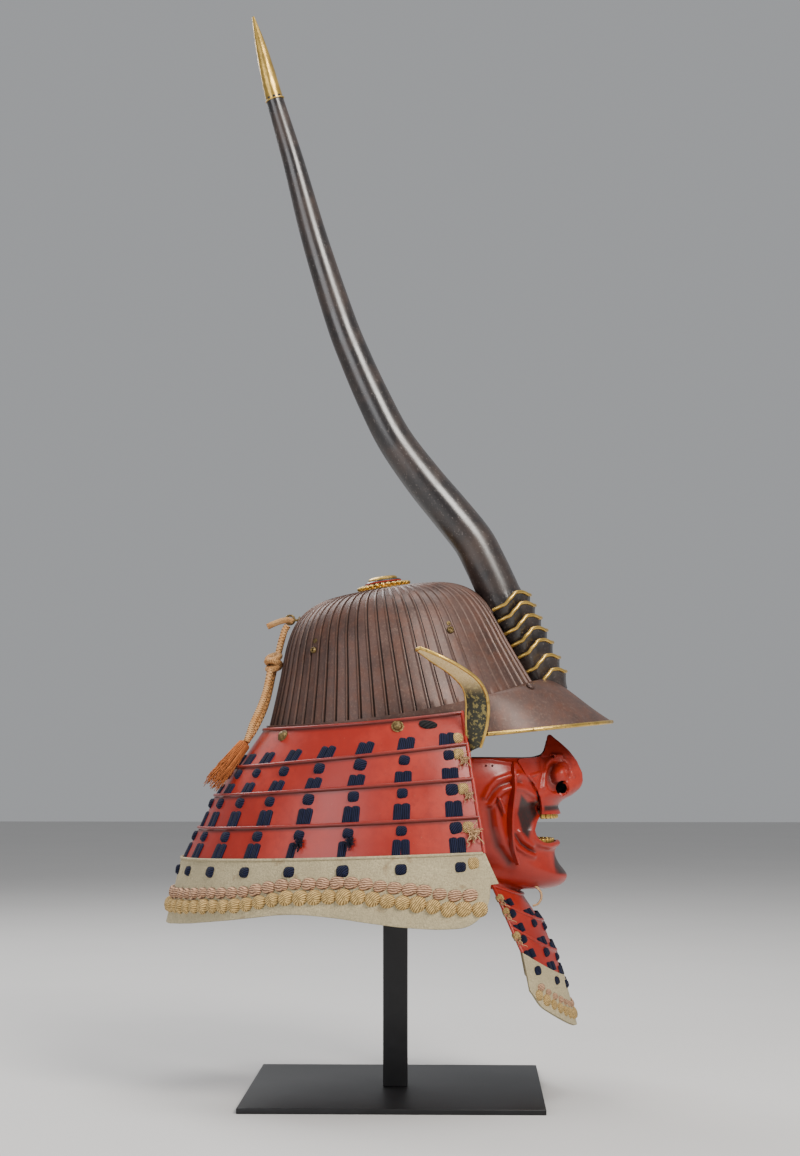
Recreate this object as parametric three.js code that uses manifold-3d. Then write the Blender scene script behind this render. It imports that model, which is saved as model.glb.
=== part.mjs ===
// Kabuto: a ribbed iron helmet with a laced neck guard, one tall horn crest and a lacquered face mask,
// held on a plain post stand. Millimetres, +Z up, the face looks along -Y. The origin is on the floor,
// under the middle of the stand plate.
import * as THREE from 'three';
import { mergeVertices } from 'three/addons/utils/BufferGeometryUtils.js';
import Module from 'manifold-3d';

const wasm = await Module();
wasm.setup();

// Fits shared by the whole object
const GAP = 0.4;
const DEG = Math.PI / 180;

// Stand
const PLATE_WIDTH = 276;
const PLATE_DEPTH = 276;
const PLATE_HEIGHT = 5;
const POST_SIDE = 23;
const CAP_RADIUS = 28;
const CAP_HEIGHT = 6;
const ARM_WIDTH = 12;
const ARM_HEIGHT = 6;
const ARM_LEVEL = 216;

// Helmet seat: where the middle of the bowl's rim stands over the plate
const SEAT_HEIGHT = 363;
const SEAT_FORWARD = 7.2;
const HELMET_TILT = 9;

// Bowl
const BOWL_HALF_LENGTH = 128.5;
const BOWL_HALF_WIDTH = 110;
const BOWL_HEIGHT = 113;
const BOWL_WALL = 3;
const RIB_COUNT = 62;
const RIB_HEIGHT = 1.8;
const RIB_WIDTH = 2.6;
const CROWN_RIB_SHARE = 0.4;
const RIM_SAG = 10;
const RIM_LIFT = 3;
const BAND_HEIGHT = 20;
const BAND_LAP = 3;
const BAND_WALL = 1.2;

// Visor
const VISOR_REACH = 119;
const VISOR_HALF_WIDTH = 98;
const VISOR_SPREAD = 54;
const VISOR_DROP = 46;
const VISOR_ARCH = 8;
const VISOR_WALL = 2.2;
const VISOR_RIM_RADIUS = 1.8;
const VISOR_RIVET_RADIUS = 4.4;
const VISOR_RIVET_ANGLE = 31;
const VISOR_STEPS = 12;

// Crown ornament
const FINIAL_RADIUS = 26;
const FINIAL_HEIGHT = 12;
const FINIAL_PETALS = 18;
const PETAL_DEPTH = 1.8;

// Neck guard
const NECK_REACH = 254;
const NECK_HALF_WIDTH = 176;
const NECK_DROP = 166;
const NECK_FRONT = 55;
const LAME_WALL = 1.4;
const LEATHER_WALL = 2.6;
const LAME_LAP = 9;
const ROLL_REACH = 2.2;
const ROLL_HEIGHT = 1.6;
const LAME_STEPS = 18;
const LEATHER_CORNER = 34;
const RIVET_RADIUS = 4.2;
const RIVET_SHANK = 1.6;
const RIVET_REACH = 9;

// Ears, the turned-back front ends of the first lame
const EAR_HEIGHT = 96;
const EAR_WIDTH = 24;
const EAR_WALL = 2.4;
const EAR_RIM_RADIUS = 1.5;

// Horn
const HORN_RISE = 690;
const HORN_WIDTH = 40;
const HORN_FOOT_STANDOFF = 5.9;
const HORN_FOOT_FORWARD = BOWL_HALF_LENGTH + HORN_FOOT_STANDOFF;
const HORN_FOOT_UP = 3;
const HORN_SIDES = 12;
const HORN_SEAT_SHARE = 0.136;
const HORN_TIP_SHARE = 0.879;
const COLLAR_COUNT = 7;
const COLLAR_HEIGHT = 11;
const COLLAR_FLARE = 5.5;
const COLLAR_WALL = 1.6;
const COLLAR_WAVE = 5;
const COLLAR_SWEEP = 118;

// Mask
const MASK_HALF_WIDTH = 73;
const MASK_FRONT = 180;
const MASK_REAR = 72;
const MASK_FLOOR = 182;
const MASK_HEIGHT = 133;
const MASK_WALL = 2.4;
const NOSE_HEIGHT = 75;
const NOSE_FLOOR = 262;
const NOSE_HALF_WIDTH = 40;
const MOUTH_HALF_WIDTH = 33;
const MOUTH_LAP = 7;
const TOOTH_COUNT = 11;
const TOOTH_HEIGHT = 6.5;
const TEETH_INSET = 7;
const TEETH_DEPTH = 22;
const TEETH_WALL = 4;
const TEETH_SWEEP = 75;
const FLANGE_DEPTH = 8;
const FLANGE_WALL = 2;
const FLANGE_TURN = 48;

// Throat guard
const THROAT_REACH = 50;
const THROAT_DROP = 122;
const THROAT_HALF_WIDTH = 76;

// Cord at the back
const CORD_DIAMETER = 6.4;
const RING_RADIUS = 4.2;
const RING_WIRE = 1.2;
const KNOT_RADIUS = 8.5;
const RING_STEM = 5;
const TASSEL_LENGTH = 57;
const TASSEL_HEAD_LENGTH = 16;
const TASSEL_RADIUS = 7;
const TASSEL_LOCKS = 4;
const LOCK_RADIUS = 3;

// Looks: colour, roughness, metalness
const LOOKS = {
  iron: [0x5a4038, 0.5, 0.7],
  gilt: [0xd2aa3c, 0.35, 0.9],
  lacquer: [0xb93423, 0.3, 0.0],
  darkLacquer: [0x191616, 0.25, 0.0],
  leather: [0xc3b48c, 0.8, 0.0],
  blackSteel: [0x141414, 0.45, 0.4],
  silk: [0xcd9650, 0.8, 0.0],
};

// Points and meshes

function at(side, forward, up) {
  return new THREE.Vector3(side, -forward, up);
}

function mix(a, b, t) {
  return a + (b - a) * t;
}

function volumeOf(points, faces) {
  return faces.reduce((sum, [a, b, c]) => {
    const cross = new THREE.Vector3().crossVectors(points[b], points[c]);
    return sum + points[a].dot(cross) / 6;
  }, 0);
}

// Turns points and faces into a closed mesh whose faces point outwards
function body(points, faces) {
  const turned = volumeOf(points, faces) < 0 ? faces.map(([a, b, c]) => [a, c, b]) : faces;
  const geometry = new THREE.BufferGeometry();
  const values = points.flatMap((point) => [point.x, point.y, point.z]);
  geometry.setAttribute('position', new THREE.Float32BufferAttribute(values, 3));
  geometry.setIndex(turned.flat());
  return mergeVertices(geometry, 1e-4);
}

// Fills a ring with triangles that follow its own turning direction, or its opposite. A short ring is a
// wall's section, filled as a ladder between its two sides, and a long one is filled from its centre.
const LONG_RING = 40;

function capFaces(count, first, centre, reversed) {
  const faces = [];
  if (count < LONG_RING) {
    let a = 0;
    let b = count - 1;
    while (b - a > 1) {
      faces.push([a + first, a + 1 + first, b + first]);
      if (b - a > 2) faces.push([a + 1 + first, b - 1 + first, b + first]);
      a += 1;
      b -= 1;
    }
  } else {
    for (let i = 0; i < count; i += 1) faces.push([i + first, ((i + 1) % count) + first, centre]);
  }
  return reversed ? faces.map(([a, b, c]) => [a, c, b]) : faces;
}

function centreOf(ring) {
  return ring.reduce((sum, point) => sum.add(point), new THREE.Vector3()).multiplyScalar(1 / ring.length);
}

// Joins closed rings of equal count into one body, capped at its ends or closed on itself
function loft(rings, closed = false) {
  const count = rings[0].length;
  const points = rings.flat();
  const faces = [];
  const bands = closed ? rings.length : rings.length - 1;
  for (let i = 0; i < bands; i += 1) {
    const a = i * count;
    const b = ((i + 1) % rings.length) * count;
    for (let j = 0; j < count; j += 1) {
      const k = (j + 1) % count;
      faces.push([a + j, a + k, b + k], [a + j, b + k, b + j]);
    }
  }
  if (!closed) {
    const last = rings.length - 1;
    const centre = points.length;
    if (count >= LONG_RING) points.push(centreOf(rings[0]), centreOf(rings[last]));
    faces.push(...capFaces(count, 0, centre, true));
    faces.push(...capFaces(count, last * count, centre + 1, false));
  }
  return body(points, faces);
}

// A wall of even thickness behind a grid of outer points, given row by row
function sheet(rows, wall) {
  const height = rows.length;
  const width = rows[0].length;
  const inner = rows.map((row, i) => row.map((point, j) => {
    const up = rows[Math.max(i - 1, 0)][j];
    const down = rows[Math.min(i + 1, height - 1)][j];
    const left = row[Math.max(j - 1, 0)];
    const right = row[Math.min(j + 1, width - 1)];
    const normal = new THREE.Vector3().crossVectors(
      new THREE.Vector3().subVectors(down, up),
      new THREE.Vector3().subVectors(right, left),
    ).normalize();
    return point.clone().addScaledVector(normal, -wall);
  }));
  const points = [...rows.flat(), ...inner.flat()];
  const back = height * width;
  const faces = [];
  for (let i = 0; i < height - 1; i += 1) {
    for (let j = 0; j < width - 1; j += 1) {
      const a = i * width + j;
      const b = a + 1;
      const c = a + width;
      const d = c + 1;
      faces.push([a, c, d], [a, d, b], [a + back, d + back, c + back], [a + back, b + back, d + back]);
    }
  }
  const border = [];
  for (let j = 0; j < width - 1; j += 1) border.push(j);
  for (let i = 0; i < height - 1; i += 1) border.push(i * width + width - 1);
  for (let j = width - 1; j > 0; j -= 1) border.push((height - 1) * width + j);
  for (let i = height - 1; i > 0; i -= 1) border.push(i * width);
  border.forEach((a, i) => {
    const b = border[(i + 1) % border.length];
    faces.push([a, b, b + back], [a, b + back, a + back]);
  });
  return body(points, faces);
}

// Booleans

function toSolid(geometry) {
  const bare = geometry.clone();
  bare.deleteAttribute('normal');
  bare.deleteAttribute('uv');
  const merged = mergeVertices(bare, 1e-4);
  return new wasm.Manifold(new wasm.Mesh({
    numProp: 3,
    vertProperties: new Float32Array(merged.attributes.position.array),
    triVerts: new Uint32Array(merged.index.array),
  }));
}

function fromSolid(solid) {
  const mesh = solid.getMesh();
  const geometry = new THREE.BufferGeometry();
  geometry.setAttribute('position', new THREE.BufferAttribute(mesh.vertProperties.slice(), 3));
  geometry.setIndex(new THREE.BufferAttribute(mesh.triVerts.slice(), 1));
  return geometry;
}

function cut(geometry, ...tools) {
  return fromSolid(tools.reduce((rest, tool) => rest.subtract(toSolid(tool)), toSolid(geometry)));
}

function fuse(...geometries) {
  return fromSolid(geometries.map(toSolid).reduce((sum, next) => sum.add(next)));
}

// A cylinder between two points
function rod(from, to, radius, sides = 12) {
  const length = from.distanceTo(to);
  const geometry = new THREE.CylinderGeometry(radius, radius, length, sides);
  const direction = new THREE.Vector3().subVectors(to, from).normalize();
  geometry.applyQuaternion(new THREE.Quaternion().setFromUnitVectors(new THREE.Vector3(0, 1, 0), direction));
  const middle = new THREE.Vector3().addVectors(from, to).multiplyScalar(0.5);
  return geometry.translate(middle.x, middle.y, middle.z);
}

// A round bar bent along points
function bar(points, radius, sides, steps) {
  const section = new THREE.Shape();
  for (let i = 0; i < sides; i += 1) {
    const turn = (i / sides) * 2 * Math.PI;
    const x = radius * Math.cos(turn);
    const y = radius * Math.sin(turn);
    if (i === 0) section.moveTo(x, y);
    else section.lineTo(x, y);
  }
  const path = new THREE.CatmullRomCurve3(points, false, 'centripetal');
  return new THREE.ExtrudeGeometry(section, { steps, curveSegments: 1, extrudePath: path });
}

// A turned shape that stands on a point along a direction
function turned(profile, foot, direction, sides = 8) {
  const outline = profile.map(([radius, height]) => new THREE.Vector2(radius, height));
  const geometry = new THREE.LatheGeometry(outline, sides);
  geometry.applyQuaternion(new THREE.Quaternion().setFromUnitVectors(
    new THREE.Vector3(0, 1, 0),
    direction.clone().normalize(),
  ));
  return geometry.translate(foot.x, foot.y, foot.z);
}

function dome(radius, foot, direction) {
  return turned([
    [0, 0],
    [radius, 0],
    [radius * 0.92, radius * 0.25],
    [radius * 0.6, radius * 0.5],
    [0, radius * 0.62],
  ], foot, direction);
}

const kabuto = new THREE.Group();
const helmet = new THREE.Group();
helmet.position.set(0, -SEAT_FORWARD, SEAT_HEIGHT);
helmet.rotation.x = -HELMET_TILT * DEG;
kabuto.add(helmet);

function place(parent, name, geometry, look) {
  const [color, roughness, metalness] = LOOKS[look];
  const mesh = new THREE.Mesh(geometry, new THREE.MeshStandardMaterial({ color, roughness, metalness }));
  mesh.name = name;
  parent.add(mesh);
  return mesh;
}

// Bowl

// Shares of the bowl's height and half sizes, from the rim to the crown
const BOWL_PROFILE = [
  { rise: 0.0, spread: 1.0 },
  { rise: 0.38, spread: 0.875 },
  { rise: 0.72, spread: 0.755 },
  { rise: 0.9, spread: 0.64 },
  { rise: 1.0, spread: 0.46 },
];

function rimLevel(turn) {
  return RIM_LIFT * Math.max(Math.cos(turn), 0) ** 2 - RIM_SAG * Math.sin(turn) ** 2;
}

// A point of the bowl: turn 0 is the front, grow moves it outwards
function bowlPoint(turn, { rise, spread }, grow) {
  const level = rise * BOWL_HEIGHT + rimLevel(turn) * (1 - rise) ** 2;
  const lean = Math.min(rise * rise, 1);
  return at(
    (BOWL_HALF_WIDTH * spread + grow * (1 - lean)) * Math.sin(turn),
    (BOWL_HALF_LENGTH * spread + grow * (1 - lean)) * Math.cos(turn),
    level + grow * lean,
  );
}

// The ribs run closer at the crown, where each side of a rib takes no more than this share of their pitch
const RIB_PITCH_SHARE = 0.3;
const INSIDE_SIDES = 26;

function bowlShell() {
  const pitch = (2 * Math.PI) / RIB_COUNT;
  const halfRib = RIB_WIDTH / (BOWL_HALF_LENGTH + BOWL_HALF_WIDTH);
  const rings = BOWL_PROFILE.map((row) => {
    const ring = [];
    for (let i = 0; i < RIB_COUNT; i += 1) {
      const turn = (i + 0.5) * pitch;
      const height = RIB_HEIGHT * mix(CROWN_RIB_SHARE, 1, row.spread);
      const half = Math.min(halfRib / row.spread, pitch * RIB_PITCH_SHARE);
      ring.push(
        bowlPoint(turn - half, row, 0),
        bowlPoint(turn, row, height),
        bowlPoint(turn + half, row, 0),
      );
    }
    return ring;
  });
  return loft(rings);
}

// The smooth bowl, grown outwards, or shrunk for the hollow inside
function smoothBowl(grow, depth, sides) {
  const rings = BOWL_PROFILE.map((row) => {
    const ring = [];
    for (let i = 0; i < sides; i += 1) ring.push(bowlPoint((i / sides) * 2 * Math.PI, row, grow));
    return ring;
  });
  const skirt = rings[0].map((point) => point.clone().setZ(point.z - depth));
  return loft([skirt, ...rings]);
}

place(helmet, 'bowl', cut(bowlShell(), smoothBowl(-BOWL_WALL, 2 * BAND_HEIGHT, INSIDE_SIDES)), 'iron');

const BAND_INNER = RIB_HEIGHT + 2 * GAP;
const BAND_OUTER = BAND_INNER + BAND_WALL;
const RIM_ROW = BOWL_PROFILE[0];
const BAND_STEPS = 30;

function rimPoint(turn, grow, level) {
  const point = bowlPoint(turn, RIM_ROW, grow);
  point.z += level;
  return point;
}

function bowlBand() {
  const sections = [];
  for (let i = 0; i < BAND_STEPS; i += 1) {
    const turn = (i / BAND_STEPS) * 2 * Math.PI;
    sections.push([
      rimPoint(turn, BAND_INNER, BAND_LAP),
      rimPoint(turn, BAND_OUTER, BAND_LAP),
      rimPoint(turn, BAND_OUTER, -BAND_HEIGHT),
      rimPoint(turn, BAND_INNER, -BAND_HEIGHT),
    ]);
  }
  return loft(sections, true);
}

// Neck guard

// Edges of the lames below the first lame's upper one, which follows the bowl's rim. Reach and width are
// shares of the guard's own, drops are shares of its drop, at the back and at the front ends. The last
// row is the lower edge of the leather.
const NECK_EDGES = [
  { backDrop: 0.002, frontDrop: 0.066, sag: 0.03 },
  { reach: 0.659, width: 0.756, backDrop: 0.189, frontDrop: 0.25, sag: 0.015 },
  { reach: 0.75, width: 0.818, backDrop: 0.329, frontDrop: 0.453, sag: 0.0 },
  { reach: 0.828, width: 0.875, backDrop: 0.496, frontDrop: 0.66, sag: 0.0 },
  { reach: 0.906, width: 0.932, backDrop: 0.649, frontDrop: 0.852, sag: 0.0 },
  { reach: 0.998, width: 1.0, backDrop: 0.997, frontDrop: 1.02, sag: 0.0 },
];
const TOP_LAME_OUT = BAND_OUTER + 3 * GAP + LAME_WALL;
const LEATHER_SWEEP = 0.2;
const SWEEP_START = 0.55;
const SWEEP_END = 0.95;

function neckHalves(row) {
  if (row === 0) return [BOWL_HALF_LENGTH + TOP_LAME_OUT, BOWL_HALF_WIDTH + TOP_LAME_OUT];
  return [NECK_EDGES[row].reach * NECK_REACH, NECK_EDGES[row].width * NECK_HALF_WIDTH];
}

function neckEnd(row) {
  return Math.acos(-NECK_FRONT / neckHalves(row)[0]);
}

// A point of an edge: share runs from -1 to 1, from one front end round the back to the other
function neckPoint(row, share) {
  const [reach, width] = neckHalves(row);
  const edge = NECK_EDGES[row];
  const end = neckEnd(row);
  const turn = share * end;
  const forwards = (1 - Math.cos(turn)) / (1 - Math.cos(end));
  let drop = mix(edge.backDrop, edge.frontDrop, forwards) + edge.sag * Math.sin(turn) ** 2;
  if (row === NECK_EDGES.length - 1) {
    drop += LEATHER_SWEEP * THREE.MathUtils.smoothstep(Math.abs(share), SWEEP_START, SWEEP_END);
  }
  return at(width * Math.sin(turn), -reach * Math.cos(turn), -drop * NECK_DROP);
}

function neckOut(row, share) {
  const turn = share * neckEnd(row);
  return at(Math.sin(turn), -Math.cos(turn), 0);
}

// The section of a lame: rolled upper edge, wall down to the next edge, and a lap behind the next lame
function lameRing(top, next, after, out, outNext, wall) {
  const inset = wall + 2 * GAP;
  const knee = next.clone().addScaledVector(outNext, -inset);
  const nextKnee = after.clone().addScaledVector(outNext, -inset);
  const down = new THREE.Vector3().subVectors(nextKnee, next).normalize();
  const end = knee.clone().addScaledVector(down, LAME_LAP);
  const slope = new THREE.Vector3().subVectors(knee, top).normalize();
  const shoulder = top.clone().addScaledVector(slope, 2 * ROLL_HEIGHT);
  const inside = (point, dir) => point.clone().addScaledVector(dir, -wall);
  return [
    inside(top, out),
    top.clone().addScaledVector(out, -wall * 0.4).setZ(top.z + ROLL_HEIGHT),
    top.clone().addScaledVector(out, ROLL_REACH).setZ(top.z + ROLL_HEIGHT * 0.5),
    top.clone().addScaledVector(out, ROLL_REACH).setZ(top.z - ROLL_HEIGHT),
    shoulder,
    knee,
    end,
    inside(end, outNext),
    inside(knee, outNext),
  ];
}

function neckLame(row) {
  const sections = [];
  for (let i = 0; i <= LAME_STEPS; i += 1) {
    const share = (2 * i) / LAME_STEPS - 1;
    sections.push(lameRing(
      neckPoint(row, share),
      neckPoint(row + 1, share),
      neckPoint(row + 2, share),
      neckOut(row, share),
      neckOut(row + 1, share),
      LAME_WALL,
    ));
  }
  return loft(sections);
}

// The deep leather lame: its lower front corners are rounded, with its sections closer together there
const LEATHER_STEPS = 24;
const END_CROWDING = 0.55;

function leatherLame() {
  const row = NECK_EDGES.length - 2;
  const sections = [];
  for (let i = 0; i <= LEATHER_STEPS; i += 1) {
    const even = (2 * i) / LEATHER_STEPS - 1;
    const share = mix(even, Math.sin(even * 0.5 * Math.PI), END_CROWDING);
    const top = neckPoint(row, share);
    const low = neckPoint(row + 1, share);
    const endDistance = (1 - Math.abs(share)) * neckEnd(row + 1) * NECK_REACH;
    const round = Math.min(Math.max(0, 1 - endDistance / LEATHER_CORNER), 1);
    const raise = LEATHER_CORNER * (1 - Math.sqrt(1 - round * round));
    const slope = new THREE.Vector3().subVectors(top, low).normalize();
    low.addScaledVector(slope, raise);
    const middle = top.clone().lerp(low, 0.5);
    const out = neckOut(row, share);
    const lowOut = neckOut(row + 1, share);
    sections.push([
      top.clone().addScaledVector(out, LEATHER_WALL - LAME_WALL),
      middle.clone().addScaledVector(out, LEATHER_WALL - LAME_WALL),
      low.clone().addScaledVector(lowOut, LEATHER_WALL - LAME_WALL),
      low.clone().addScaledVector(lowOut, -LAME_WALL),
      middle.clone().addScaledVector(out, -LAME_WALL),
      top.clone().addScaledVector(out, -LAME_WALL),
    ]);
  }
  return loft(sections);
}

// Rivets through the first lame and the band: where each stands, as a share of the lame
const RIM_RIVETS = [-0.78, -0.33, 0.33, 0.78];
const RIVET_DROP = 0.21;
const RIVET_SIDES = 6;

function rimRivet(share) {
  const top = neckPoint(0, share);
  const low = neckPoint(1, share).addScaledVector(neckOut(1, share), -(LAME_WALL + 2 * GAP));
  const slope = new THREE.Vector3().subVectors(low, top).normalize();
  const out = neckOut(0, share);
  const lean = out.clone().addScaledVector(slope, -out.dot(slope)).normalize();
  const foot = top.clone().lerp(low, RIVET_DROP);
  const seat = foot.clone().addScaledVector(lean, 3 * GAP);
  const neck = seat.clone().addScaledVector(lean, GAP);
  const clench = foot.clone().addScaledVector(lean, -RIVET_REACH);
  return {
    piece: fuse(dome(RIVET_RADIUS, seat, lean), rod(clench, neck, RIVET_SHANK, RIVET_SIDES)),
    bore: rod(
      foot.clone().addScaledVector(lean, -2 * RIVET_REACH),
      foot.clone().addScaledVector(lean, RIVET_RADIUS),
      RIVET_SHANK + 2 * GAP,
      RIVET_SIDES,
    ),
  };
}

const rimRivets = RIM_RIVETS.map(rimRivet);
const rimBores = rimRivets.map((rivet) => rivet.bore);
place(helmet, 'bowl_band', cut(bowlBand(), ...rimBores), 'iron');
place(helmet, 'neck_lame_1', cut(neckLame(0), ...rimBores), 'lacquer');
rimRivets.forEach((rivet, i) => place(helmet, `rim_rivet_${i + 1}`, rivet.piece, 'gilt'));
place(helmet, 'neck_lame_2', neckLame(1), 'lacquer');
place(helmet, 'neck_lame_3', neckLame(2), 'lacquer');
place(helmet, 'neck_lame_4', neckLame(3), 'lacquer');
place(helmet, 'neck_lame_5', leatherLame(), 'leather');

// Visor

const VISOR_ROOT_OUT = BAND_OUTER + GAP + VISOR_WALL;
const VISOR_SIDE_DROP = 0.8;
const VISOR_FRONT_DROP = 0.95;
const VISOR_SIDE_ARCH = 0.3;

// The way the visor's upper face looks at a turn: level is how far it looks up
function visorLean(turn, level) {
  return at(Math.sin(turn), Math.cos(turn), level).normalize();
}

const ROOT_LEVEL = 0.4;
const RIM_LEVEL = 1.6;

// A point of the visor's upper face: share -1 to 1 across it, t 0 at the root and 1 at the rim
function visorPoint(share, t) {
  const turn = share * VISOR_SPREAD * DEG;
  const root = rimPoint(turn, VISOR_ROOT_OUT, BAND_LAP);
  const sweep = share * 0.5 * Math.PI;
  const rim = at(
    VISOR_HALF_WIDTH * Math.sin(sweep),
    BOWL_HALF_LENGTH * Math.cos(VISOR_SPREAD * DEG) + VISOR_REACH * Math.cos(sweep),
    -VISOR_DROP * mix(VISOR_SIDE_DROP, VISOR_FRONT_DROP, Math.cos(sweep)),
  );
  const point = root.clone().lerp(rim, t);
  const bulge = VISOR_ARCH * Math.sin(Math.PI * t) * mix(VISOR_SIDE_ARCH, 1, Math.cos(sweep));
  return point.addScaledVector(visorLean(turn, 1), bulge);
}

function visorBody(grow) {
  const sections = [];
  const depth = 4;
  for (let i = 0; i <= VISOR_STEPS; i += 1) {
    const share = (2 * i) / VISOR_STEPS - 1;
    const turn = share * VISOR_SPREAD * DEG;
    const upper = [];
    const lower = [];
    for (let j = 0; j <= depth; j += 1) {
      const t = j / depth;
      const lean = visorLean(turn, mix(ROOT_LEVEL, RIM_LEVEL, t));
      upper.push(visorPoint(share, t).addScaledVector(lean, grow));
      lower.push(visorPoint(share, t).addScaledVector(lean, -VISOR_WALL));
    }
    sections.push([...upper, ...lower.reverse()]);
  }
  return loft(sections);
}

place(helmet, 'visor', visorBody(0), 'iron');

function visorRim() {
  const points = [];
  const steps = 1.5 * VISOR_STEPS;
  for (let i = 0; i <= steps; i += 1) {
    const share = (2 * i) / steps - 1;
    const sweep = share * 0.5 * Math.PI;
    const out = at(Math.sin(sweep), Math.cos(sweep), -0.3).normalize();
    const lean = visorLean(share * VISOR_SPREAD * DEG, RIM_LEVEL);
    const edge = visorPoint(share, 1).addScaledVector(lean, -VISOR_WALL / 2);
    points.push(edge.addScaledVector(out, VISOR_RIM_RADIUS + 2 * GAP));
  }
  return bar(points, VISOR_RIM_RADIUS, 5, steps);
}

place(helmet, 'visor_rim', visorRim(), 'gilt');

// Share of the visor's depth where its rivets stand
const VISOR_RIVET_DEPTH = 0.12;

[['visor_rivet_left', -1], ['visor_rivet_right', 1]].forEach(([name, side]) => {
  const share = (side * VISOR_RIVET_ANGLE) / VISOR_SPREAD;
  const lean = visorLean(share * VISOR_SPREAD * DEG, 1);
  const foot = visorPoint(share, VISOR_RIVET_DEPTH).addScaledVector(lean, 3 * GAP);
  place(helmet, name, dome(VISOR_RIVET_RADIUS, foot, lean), 'iron');
});

// Crown ornament

const CROWN_SPREAD = BOWL_PROFILE[BOWL_PROFILE.length - 1].spread;
const CROWN_RIB = RIB_HEIGHT * mix(CROWN_RIB_SHARE, 1, CROWN_SPREAD);
const CROWN = at(0, 0, BOWL_HEIGHT + 0.7 * CROWN_RIB);
const UP = new THREE.Vector3(0, 0, 1);
const BASE_SHARE = 0.4;
const RING_SHARE = 0.7;
const PETAL_STEPS = 3;

function finialBase() {
  const outline = new THREE.Shape();
  const steps = FINIAL_PETALS * PETAL_STEPS;
  for (let i = 0; i < steps; i += 1) {
    const turn = (i / steps) * 2 * Math.PI;
    const lobe = Math.abs(Math.sin((i / PETAL_STEPS) * Math.PI));
    const radius = FINIAL_RADIUS - PETAL_DEPTH * (1 - lobe);
    const x = radius * Math.cos(turn);
    const y = radius * Math.sin(turn);
    if (i === 0) outline.moveTo(x, y);
    else outline.lineTo(x, y);
  }
  const slab = new THREE.ExtrudeGeometry(outline, { depth: FINIAL_HEIGHT * BASE_SHARE, bevelEnabled: false });
  return slab.translate(CROWN.x, CROWN.y, CROWN.z + GAP);
}

function finialStep(low, high, radius) {
  const foot = CROWN.clone().setZ(CROWN.z + 2 * GAP + low * FINIAL_HEIGHT);
  const height = (high - low) * FINIAL_HEIGHT - GAP;
  return turned([
    [0, 0],
    [radius, 0],
    [radius * 1.04, height * 0.5],
    [radius * 0.94, height],
    [0, height],
  ], foot, UP, 16);
}

place(helmet, 'finial_base', finialBase(), 'gilt');
place(helmet, 'finial_ring', finialStep(BASE_SHARE, RING_SHARE, FINIAL_RADIUS * 0.62), 'darkLacquer');
place(helmet, 'finial_top', finialStep(RING_SHARE, 1, FINIAL_RADIUS * 0.5), 'gilt');

// Horn

// Stations of the horn, as shares of its rise; width is a share of its own width
const HORN_PATH = [
  { rise: -0.03, lean: 0.008, width: 0.96 },
  { rise: 0.05, lean: -0.015, width: 1.0 },
  { rise: 0.105, lean: -0.031, width: 1.0 },
  { rise: 0.143, lean: -0.041, width: 1.0 },
  { rise: 0.181, lean: -0.052, width: 0.99 },
  { rise: 0.212, lean: -0.063, width: 0.98 },
  { rise: 0.258, lean: -0.089, width: 0.96 },
  { rise: 0.306, lean: -0.117, width: 0.92 },
  { rise: 0.368, lean: -0.148, width: 0.85 },
  { rise: 0.429, lean: -0.168, width: 0.81 },
  { rise: 0.489, lean: -0.184, width: 0.765 },
  { rise: 0.549, lean: -0.197, width: 0.725 },
  { rise: 0.668, lean: -0.215, width: 0.63 },
  { rise: 0.786, lean: -0.228, width: 0.51 },
  { rise: 0.876, lean: -0.24, width: 0.42 },
  { rise: 0.921, lean: -0.2445, width: 0.35 },
  { rise: 0.955, lean: -0.2475, width: 0.26 },
  { rise: 1.0, lean: -0.252, width: 0.06 },
];

const hornCurve = new THREE.CatmullRomCurve3(HORN_PATH.map((station) => at(
  0,
  HORN_FOOT_FORWARD + station.lean * HORN_RISE,
  HORN_FOOT_UP + station.rise * HORN_RISE,
)), false, 'centripetal');

// The centre line, its direction and the width at a share of the rise
function hornStation(rise) {
  const last = HORN_PATH.length - 1;
  let i = 0;
  while (i < last - 1 && HORN_PATH[i + 1].rise < rise) i += 1;
  const part = (rise - HORN_PATH[i].rise) / (HORN_PATH[i + 1].rise - HORN_PATH[i].rise);
  const u = (i + part) / last;
  return {
    centre: hornCurve.getPoint(u),
    along: hornCurve.getTangent(u),
    width: mix(HORN_PATH[i].width, HORN_PATH[i + 1].width, part) * HORN_WIDTH,
  };
}

const HORN_SIDE_SHARE = 0.94;
const HORN_RIDGE = 0.03;
const TIP_RIDGE = 0.08;

// The way the horn's front looks
function hornFront(along) {
  return new THREE.Vector3(0, -along.z, along.y);
}

// A ring round the centre line, with a low ridge down the front
function hornRing(rise, shift, ridge) {
  const { centre, along, width } = hornStation(rise);
  const front = hornFront(along);
  const ring = [];
  for (let i = 0; i < HORN_SIDES; i += 1) {
    const turn = (i / HORN_SIDES) * 2 * Math.PI;
    const radius = 0.5 * width * (i === 1 || i === HORN_SIDES - 1 ? 1 + ridge : 1);
    ring.push(centre.clone()
      .addScaledVector(along, shift)
      .addScaledVector(front, radius * Math.cos(turn))
      .add(new THREE.Vector3(radius * HORN_SIDE_SHARE * Math.sin(turn), 0, 0)));
  }
  return ring;
}

// A length of the horn between two shares of its rise. Stations nearer to its ends than this are left out.
const STATION_GAP = 0.01;

function hornLength(low, high, lowShift, highShift, ridge) {
  const shares = HORN_PATH.map((station) => station.rise)
    .filter((rise) => rise > low + STATION_GAP && rise < high - STATION_GAP);
  return loft([
    hornRing(low, lowShift, ridge),
    ...shares.map((rise) => hornRing(rise, 0, ridge)),
    hornRing(high, highShift, ridge),
  ]);
}

const CLEARANCE_SIDES = 44;
const bowlClearance = smoothBowl(RIB_HEIGHT + 2 * GAP, BAND_HEIGHT, CLEARANCE_SIDES);

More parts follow.
